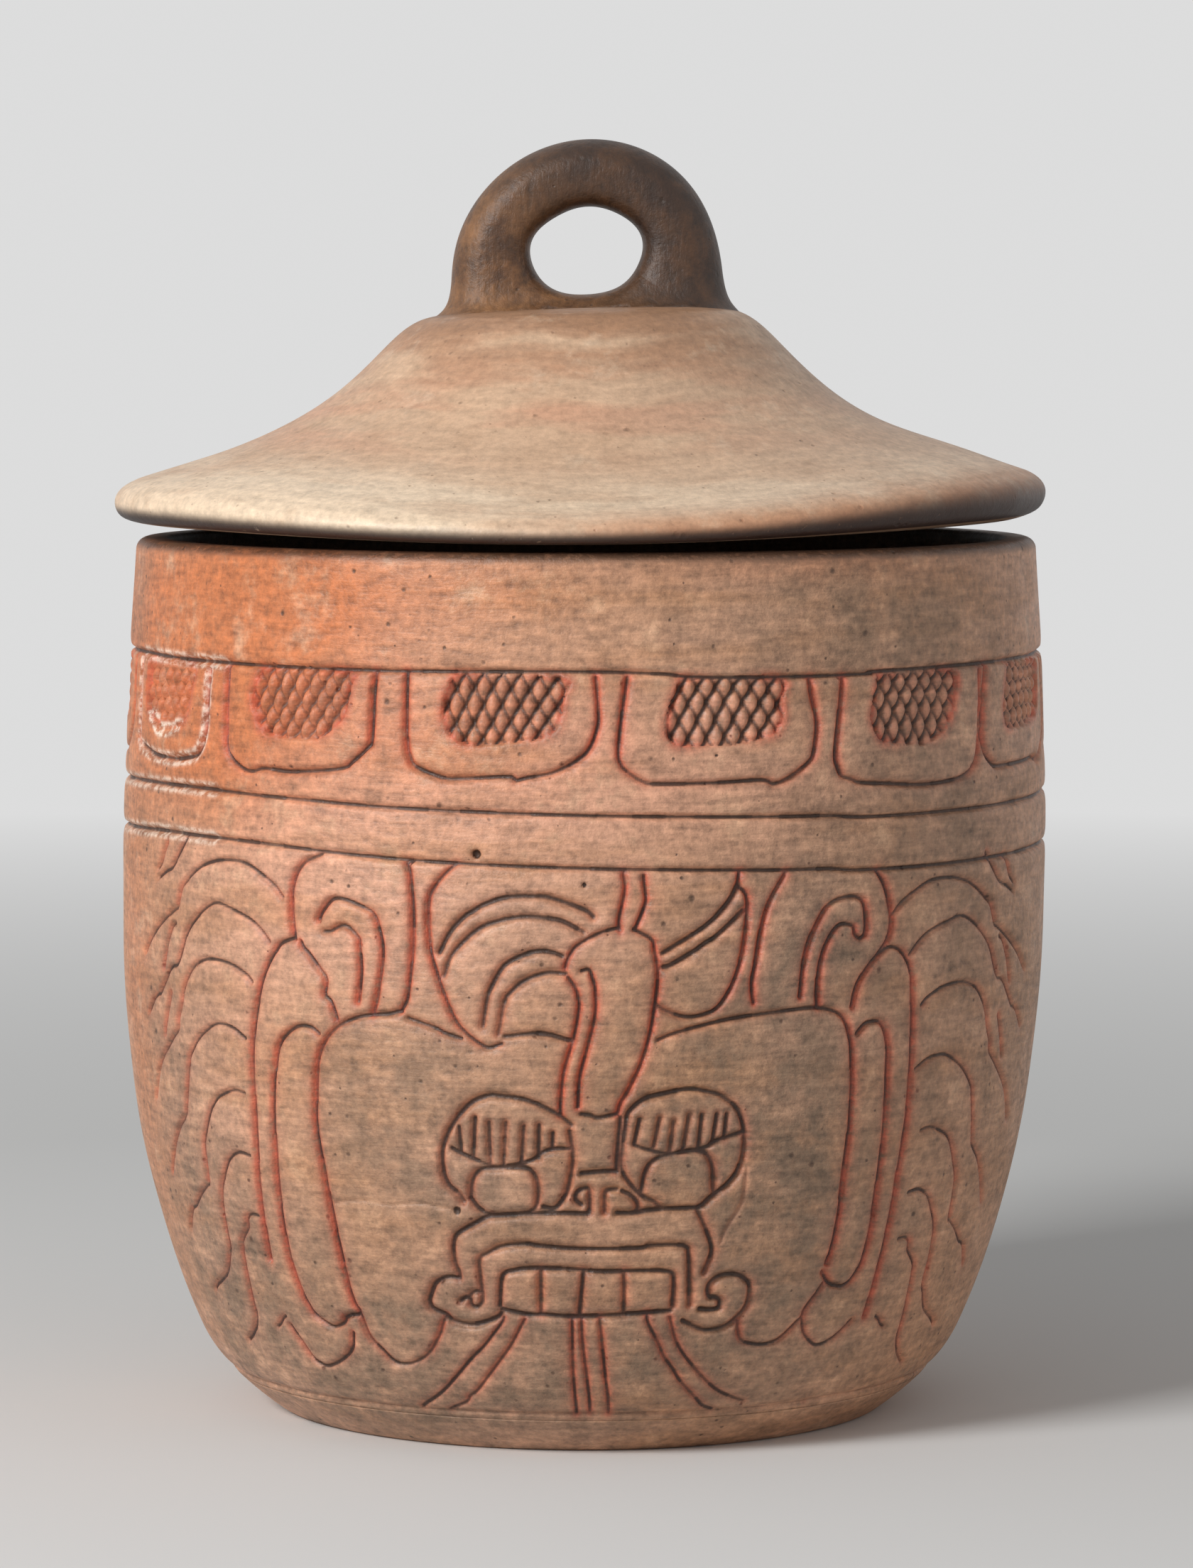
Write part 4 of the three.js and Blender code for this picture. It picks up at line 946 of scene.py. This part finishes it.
crown_here = np.interp(np.hypot(lid_x, loop_y), *lid_line)
loop_z = np.where(rise > 0, loop_z + (crown_here - CROWN) * np.exp(-rise / 3), crown_here) - SUNK
loop_z += TILT * lid_x / SHOULDER_RADIUS
loop_shape = np.stack([loop_x, loop_y, loop_z], -1).transpose(1, 0, 2)
loop_handle = turned_piece("loop_handle_piece", loop_shape * MM, "ring")
# Darker towards the right and the top: smoke, with painted shade on the right
smoky_and_shaded = smooth_step(0.45 + loop_x / 40 + (loop_z - LOOP_MIDDLE) / 60)
paint(loop_handle, "smoke_and_shade", smoky_and_shaded.T)
# Lighter on the left, partly painted light, and tan at the foot
paint(loop_handle, "cream", np.clip(1 - smoky_and_shaded + 0.8 * np.exp(-rise / 7), 0, 1).T)
LOOP_LAYERS = [
    (None, "broad", 0.4, 0.62, 0.6, "#523823"),
    # lighter left, partly painted light
    ("cream", "blotch", 0.4, 0.6, 0.8, "#8C6340"),
    # smoke, and painted shade on the right
    ("smoke_and_shade", "blotch", 0.3, 0.55, 0.9, "#2F1E14"),
    (None, "blotch", 0.44, 0.28, 0.6, "#2B1C13"),
    (None, "pores", 0.0, 0.7, 0.6, "#33251B"),
]
# The lid's slip where hands and smoke have browned it, with blotches of 3 to 15 mm, and painted
# shade on its right
loop_handle.data.materials.append(burnished_slip("smoked_and_shaded_slip", (6, 6, 1), 1.5, 1.0, "#5C3C24", LOOP_LAYERS))
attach(loop_handle, "lid")
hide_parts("loop_handle")

# Table, light and camera
# A pale table that runs out into an even background, one large soft lamp from the upper left, a
# weak one from the right, and the camera where the photograph was taken from.

TABLE_RADIUS = 6.0
BACKGROUND = (0.72, 0.72, 0.72, 1)
table_mesh = bpy.data.meshes.new("table")
round_table = np.linspace(0, 2 * math.pi, 65)[:-1]
rim = [(math.cos(t) * TABLE_RADIUS, math.sin(t) * TABLE_RADIUS, 0) for t in round_table]
table_mesh.from_pydata(rim, [], [tuple(range(len(rim)))])
table = linked("table", table_mesh)


def shows_background(owner):
    """1 for a ray from the camera, or one that a gloss or glass sends on, else 0."""
    rays = add(owner, "ShaderNodeLightPath", "Is Camera Ray").node.outputs
    seen = rays["Is Camera Ray"]
    for kind in ("Is Glossy Ray", "Is Transmission Ray"):
        either = {"Value": seen, "Value_001": rays[kind]}
        seen = add(owner, "ShaderNodeMath", "Value", either, operation="MAXIMUM")
    return seen


# Matt paper, even and pale, that passes into the background's grey further out
pale_paper = new_material("pale_paper")
place = add(pale_paper, "ShaderNodeTexCoord", "Object")
distance = add(pale_paper, "ShaderNodeVectorMath", "Value", {"Vector": place}, operation="LENGTH")
far = add(pale_paper, "ShaderNodeMapRange", "Result", {"Value": distance, "From Min": 0.45, "From Max": 1.6})
lifted = {"Value": far, "Value_001": shows_background(pale_paper)}
faded = add(pale_paper, "ShaderNodeMath", "Value", lifted, operation="MULTIPLY")
card = add(pale_paper, "ShaderNodeBsdfDiffuse", "BSDF", {"Color": (0.78, 0.78, 0.77, 1)})
glow = add(pale_paper, "ShaderNodeEmission", "Emission", {"Color": BACKGROUND, "Strength": 1.0})
blend = add(pale_paper, "ShaderNodeMixShader", "Shader", {"Fac": faded, "Shader": card, "Shader_001": glow})
add(pale_paper, "ShaderNodeOutputMaterial", None, {"Surface": blend})
table_mesh.materials.append(pale_paper)

world = bpy.data.worlds.new("studio")
world.use_nodes = True
world.node_tree.nodes.clear()
bpy.context.scene.world = world
sky = add(world, "ShaderNodeBackground", "Background", {"Color": (1, 1, 1, 1), "Strength": 0.3})
backdrop = add(world, "ShaderNodeBackground", "Background", {"Color": BACKGROUND, "Strength": 1.0})
ends = {"Fac": shows_background(world), "Shader": sky, "Shader_001": backdrop}
both = add(world, "ShaderNodeMixShader", "Shader", ends)
add(world, "ShaderNodeOutputWorld", None, {"Surface": both})


VASE_MIDDLE = (0, 0, 0.13)


def soft_lamp(name, place, side, power):
    """A square lamp of that side in metres and power in watts, turned to the middle of the vase."""
    data = bpy.data.lights.new(name, "AREA")
    data.size, data.energy = side, power
    lamp = linked(name, data)
    x, y, z = np.array(VASE_MIDDLE) - np.array(place)
    lamp.location = place
    lamp.rotation_euler = (math.atan2(math.hypot(x, y), -z), 0, math.atan2(-x, y))


soft_lamp("key_lamp", (-1.08, -1.1, 1.0), 0.55, 23.5)
soft_lamp("fill_lamp", (1.5, -0.9, 0.8), 1.2, 2)

# In the photograph's pixels: its size, the focal length, the row that is level with the camera and
# the column of the vase's axis
PHOTO_WIDTH, PHOTO_HEIGHT = 1680, 2209
FOCAL_PIXELS, HORIZON_ROW, AXIS_COLUMN = 8800, 430, 819
SENSOR_HEIGHT = 36  # mm
camera_data = bpy.data.cameras.new("camera")
camera_data.sensor_fit = "VERTICAL"
camera_data.sensor_height = SENSOR_HEIGHT
camera_data.lens = FOCAL_PIXELS / PHOTO_HEIGHT * SENSOR_HEIGHT
camera_data.clip_start, camera_data.clip_end = 0.05, 50
camera = linked("camera", camera_data)
camera.location = (0, -1.359, 0.239)
pitch = math.atan((PHOTO_HEIGHT / 2 - HORIZON_ROW) / FOCAL_PIXELS)
yaw = math.atan((PHOTO_WIDTH / 2 - AXIS_COLUMN) / FOCAL_PIXELS)
camera.rotation_euler = (math.pi / 2 - pitch, 0, -yaw)
bpy.context.scene.camera = camera
bpy.context.scene.view_settings.view_transform = "Standard"
